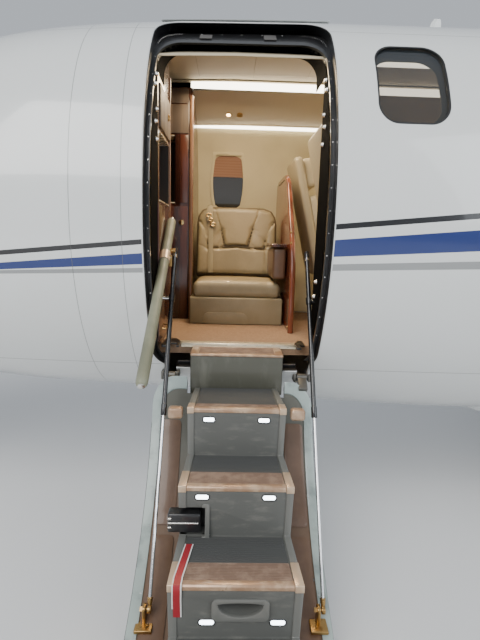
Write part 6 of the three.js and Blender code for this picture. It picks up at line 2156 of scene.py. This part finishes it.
def tyred_wheel(name, radius, width, axle, centre, node):
    """A ribbed tyre on a bolted hub; the grooves are part of the turned profile."""
    half, rim = width / 2, radius * 0.52
    wall = curve_through([(rim, -half * 0.62), (rim * 1.16, -half * 0.86), (radius * 0.8, -half * 0.99),
                          (radius * 0.93, -half * 0.84),
                          (radius * 0.982, -half * 0.58)], 4)
    tread = []
    for k in (-1.5, -0.5, 0.5, 1.5):
        mid = k * width * 0.17
        tread += [(radius * 0.998, mid - 0.0045), (radius * 0.998 - 0.008, mid - 0.003),
                  (radius * 0.998 - 0.008, mid + 0.003),
                  (radius * 0.998, mid + 0.0045)]
    profile = wall + tread + [(r, -d) for r, d in wall[::-1]]
    tyre = spin(name, profile + [(rim, 0.0)], centre, "y", 96, closed=True)
    face_out(tyre)
    soften(tyre, 30)
    give(tyre, tyre_rubber, node, [node])
    dish = [(axle + 0.001, half * 0.55), (axle + 0.02, half * 0.6), (rim * 0.42, half * 0.6),
            (rim * 0.5, half * 0.42), (rim * 0.82, half * 0.4),
            (rim * 0.9, half * 0.62), (rim * 0.99, half * 0.66), (rim * 1.02, half * 0.6)]
    hub = spin(name + "_hub", dish + [(r, -d) for r, d in dish[::-1]], centre, "y", 64, closed=True)
    face_out(hub)
    soften(hub, 35)
    give(hub, hub_alloy, node)
    bolts = []
    for k in range(9):
        a = 2 * math.pi * k / 9
        for face in (-1, 1):
            bolts.append((Vector(centre)
                          + Vector((rim * 0.66 * math.cos(a), face * (half * 0.4 + 0.003),
                                    rim * 0.66 * math.sin(a))), Vector((0, face, 0))))
    size = {"Top": rim * 0.055, "Bottom": rim * 0.07, "Height": 0.012}
    give(repeat(name + "_bolts", bolts, latch_metal, disc_shape(6), size), latch_metal,
         node)


def strut_work(name, bars, blocks, finish, body, nodes=()):
    pieces = [cone(name, Vector(a), Vector(b), r, r, 32) for a, b, r in bars]
    pieces += [soft_box("block", low, high, 0.006, 3) for low, high in blocks]
    whole = merge(name, pieces)
    soften(whole, 35)
    give(whole, finish, body, nodes)


NOSE = {"x": -6.3, "axle": (-6.25, 0, 0.22), "radius": 0.22, "width": 0.13}
x = NOSE["x"]
strut_work("nose_leg_steel",
           [((x, 0, 0.59), (x, 0, 1.149), 0.052), ((x, 0, 0.5), (x, 0, 0.59), 0.064),
            ((x, 0, 0.6), (x, 0, 0.62), 0.062),
                              ((x, 0, 0.8), (x, 0, 0.825), 0.06),
                              ((x - 0.02, 0, 0.69), (-6.6, 0, 1.09), 0.022),
                              ((x, -0.1247, 1.09), (x, 0.1247, 1.09), 0.03),
                              ((x, -0.075, 0.66), (x, 0.075, 0.66), 0.012)],
           [((-6.64, -0.06, 1.06), (-6.56, 0.06, 1.1497)),
            ((x - 0.08, -0.03, 0.65), (x - 0.03, 0.03, 0.73))],
           gear_grey, "airframe", ["nose_leg"])
fork = []
inner = NOSE["width"] / 2 + 0.012
for s in (-1, 1):
    outline = [(x - 0.045, 0.47), (x + 0.045, 0.47), (-6.25 + 0.034, 0.232), (-6.25 + 0.02, 0.19),
               (-6.25 - 0.02, 0.19), (-6.25 - 0.036, 0.232)]
    arm = prism("arm", rounded_polygon(outline, 0.012), "y", min(s * inner, s * (inner + 0.024)),
                max(s * inner, s * (inner + 0.024)))
    round_edges(arm, 0.004)
    fork.append(arm)
fork.append(soft_box("crown", (x - 0.058, -inner - 0.024, 0.455), (x + 0.058, inner + 0.024, 0.4997),
                     0.008, 3))
axle = Vector(NOSE["axle"])
fork.append(cone("axle", axle - Vector((0, inner + 0.034, 0)), axle + Vector((0, inner + 0.034, 0)),
                 0.016, 0.016, 32))
for s in (-1, 1):
    fork.append(cone("nut", axle + Vector((0, s * (inner + 0.024), 0)),
                     axle + Vector((0, s * (inner + 0.036), 0)), 0.024, 0.022, 6))
fork = merge("nose_fork_steel", fork)
soften(fork, 35)
give(fork, gear_grey, "nose_fork", ["nose_fork"])
tyred_wheel("nose_tyre", NOSE["radius"], NOSE["width"], 0.016, NOSE["axle"], "nose_wheel")
LAMP_LINE = [(0.0, 0.035), (0.03, 0.03), (0.05, 0.0), (0.052, -0.02), (0.044, -0.022), (0.0, -0.012)]
lamp = spin("taxi_lamp", curve_through(LAMP_LINE, 4), (x - 0.115, 0, 0.74), "x", 32)
soften(lamp, 40)
give(lamp, chrome)
strut_work("taxi_lamp_stalk", [((x - 0.045, 0, 0.74), (x - 0.09, 0, 0.74), 0.01)], [], gear_grey,
           "airframe")
for side, s in SIDES:
    middle = s * 0.145
    door = soft_box(f"nose_door_skin_{side}", (-6.67, middle - 0.008, 0.64), (-6.1, middle + 0.008, 1.1),
                    0.0035, 3)
    carve(door, [skin_tube("saw", -7.3, -5.6, 0.003, None, 0.1)])
    soften(door, 30)
    give(door, control_paint, replaces=[f"nose_gear_door_{side}"])

MAIN = {"x": 0.72, "leg": 1.29, "wheel": 1.45, "radius": 0.28, "width": 0.19, "axle": 0.03}
for side, s in SIDES:
    x, y, out = MAIN["x"], s * MAIN["leg"], s * (MAIN["wheel"] + 0.13)
    hub = s * (MAIN["wheel"] + MAIN["width"] / 2 + 0.006)
    bars = [((x, y, 0.46), (x, y, 0.9), 0.052), ((x, y, 0.62), (x, y, 0.645), 0.062),
            ((x, y, 0.28), (x, hub, 0.28), 0.03),
            ((x, y, 0.28), (x, s * (MAIN["wheel"] - 0.063), 0.28), 0.062),
            ((x, y, 0.48), (x, s * (MAIN["leg"] - 0.26), 0.9), 0.026),
            ((x, y, 0.47), (x - 0.33, y, 0.9), 0.024), ((x, y, 0.64), (x, out, 0.64), 0.02),
            ((x - 0.075, y - 0.03, 0.45), (x - 0.075, y + 0.03, 0.45), 0.012)]
    blocks = [((x - 0.046, y - 0.046, 0.4), (x + 0.046, y + 0.046, 0.47)),
              ((x - 0.09, y - 0.02, 0.4), (x - 0.04, y + 0.02, 0.47))]
    legs = [cone("leg", Vector(a), Vector(b), r, r, 32) for a, b,
            r in bars] + [soft_box("block", low, high, 0.006, 3) for low, high in blocks]
    door = soft_box("door", (x - 0.19, out - 0.008, 0.575), (x + 0.2, out + 0.008, 0.9), 0.004, 3)
    for part in legs + [door]:
        if max(v.co.z for v in part.data.vertices) > 0.8:
            carve(part, [lifting("saw", wing_sections(s)[:2], 6, 0.001)])
    leg = merge(f"main_leg_steel_{side}", legs + [door])
    soften(leg, 35)
    give(leg, gear_grey, replaces=[f"main_leg_{side}"])
    strut_work(f"main_leg_slide_{side}", [((x, y, 0.235), (x, y, 0.405), 0.04)], [], chrome,
               "airframe")
    tyred_wheel(f"main_tyre_{side}", MAIN["radius"], MAIN["width"], MAIN["axle"],
                (x, s * MAIN["wheel"], 0.28), f"main_wheel_{side}")
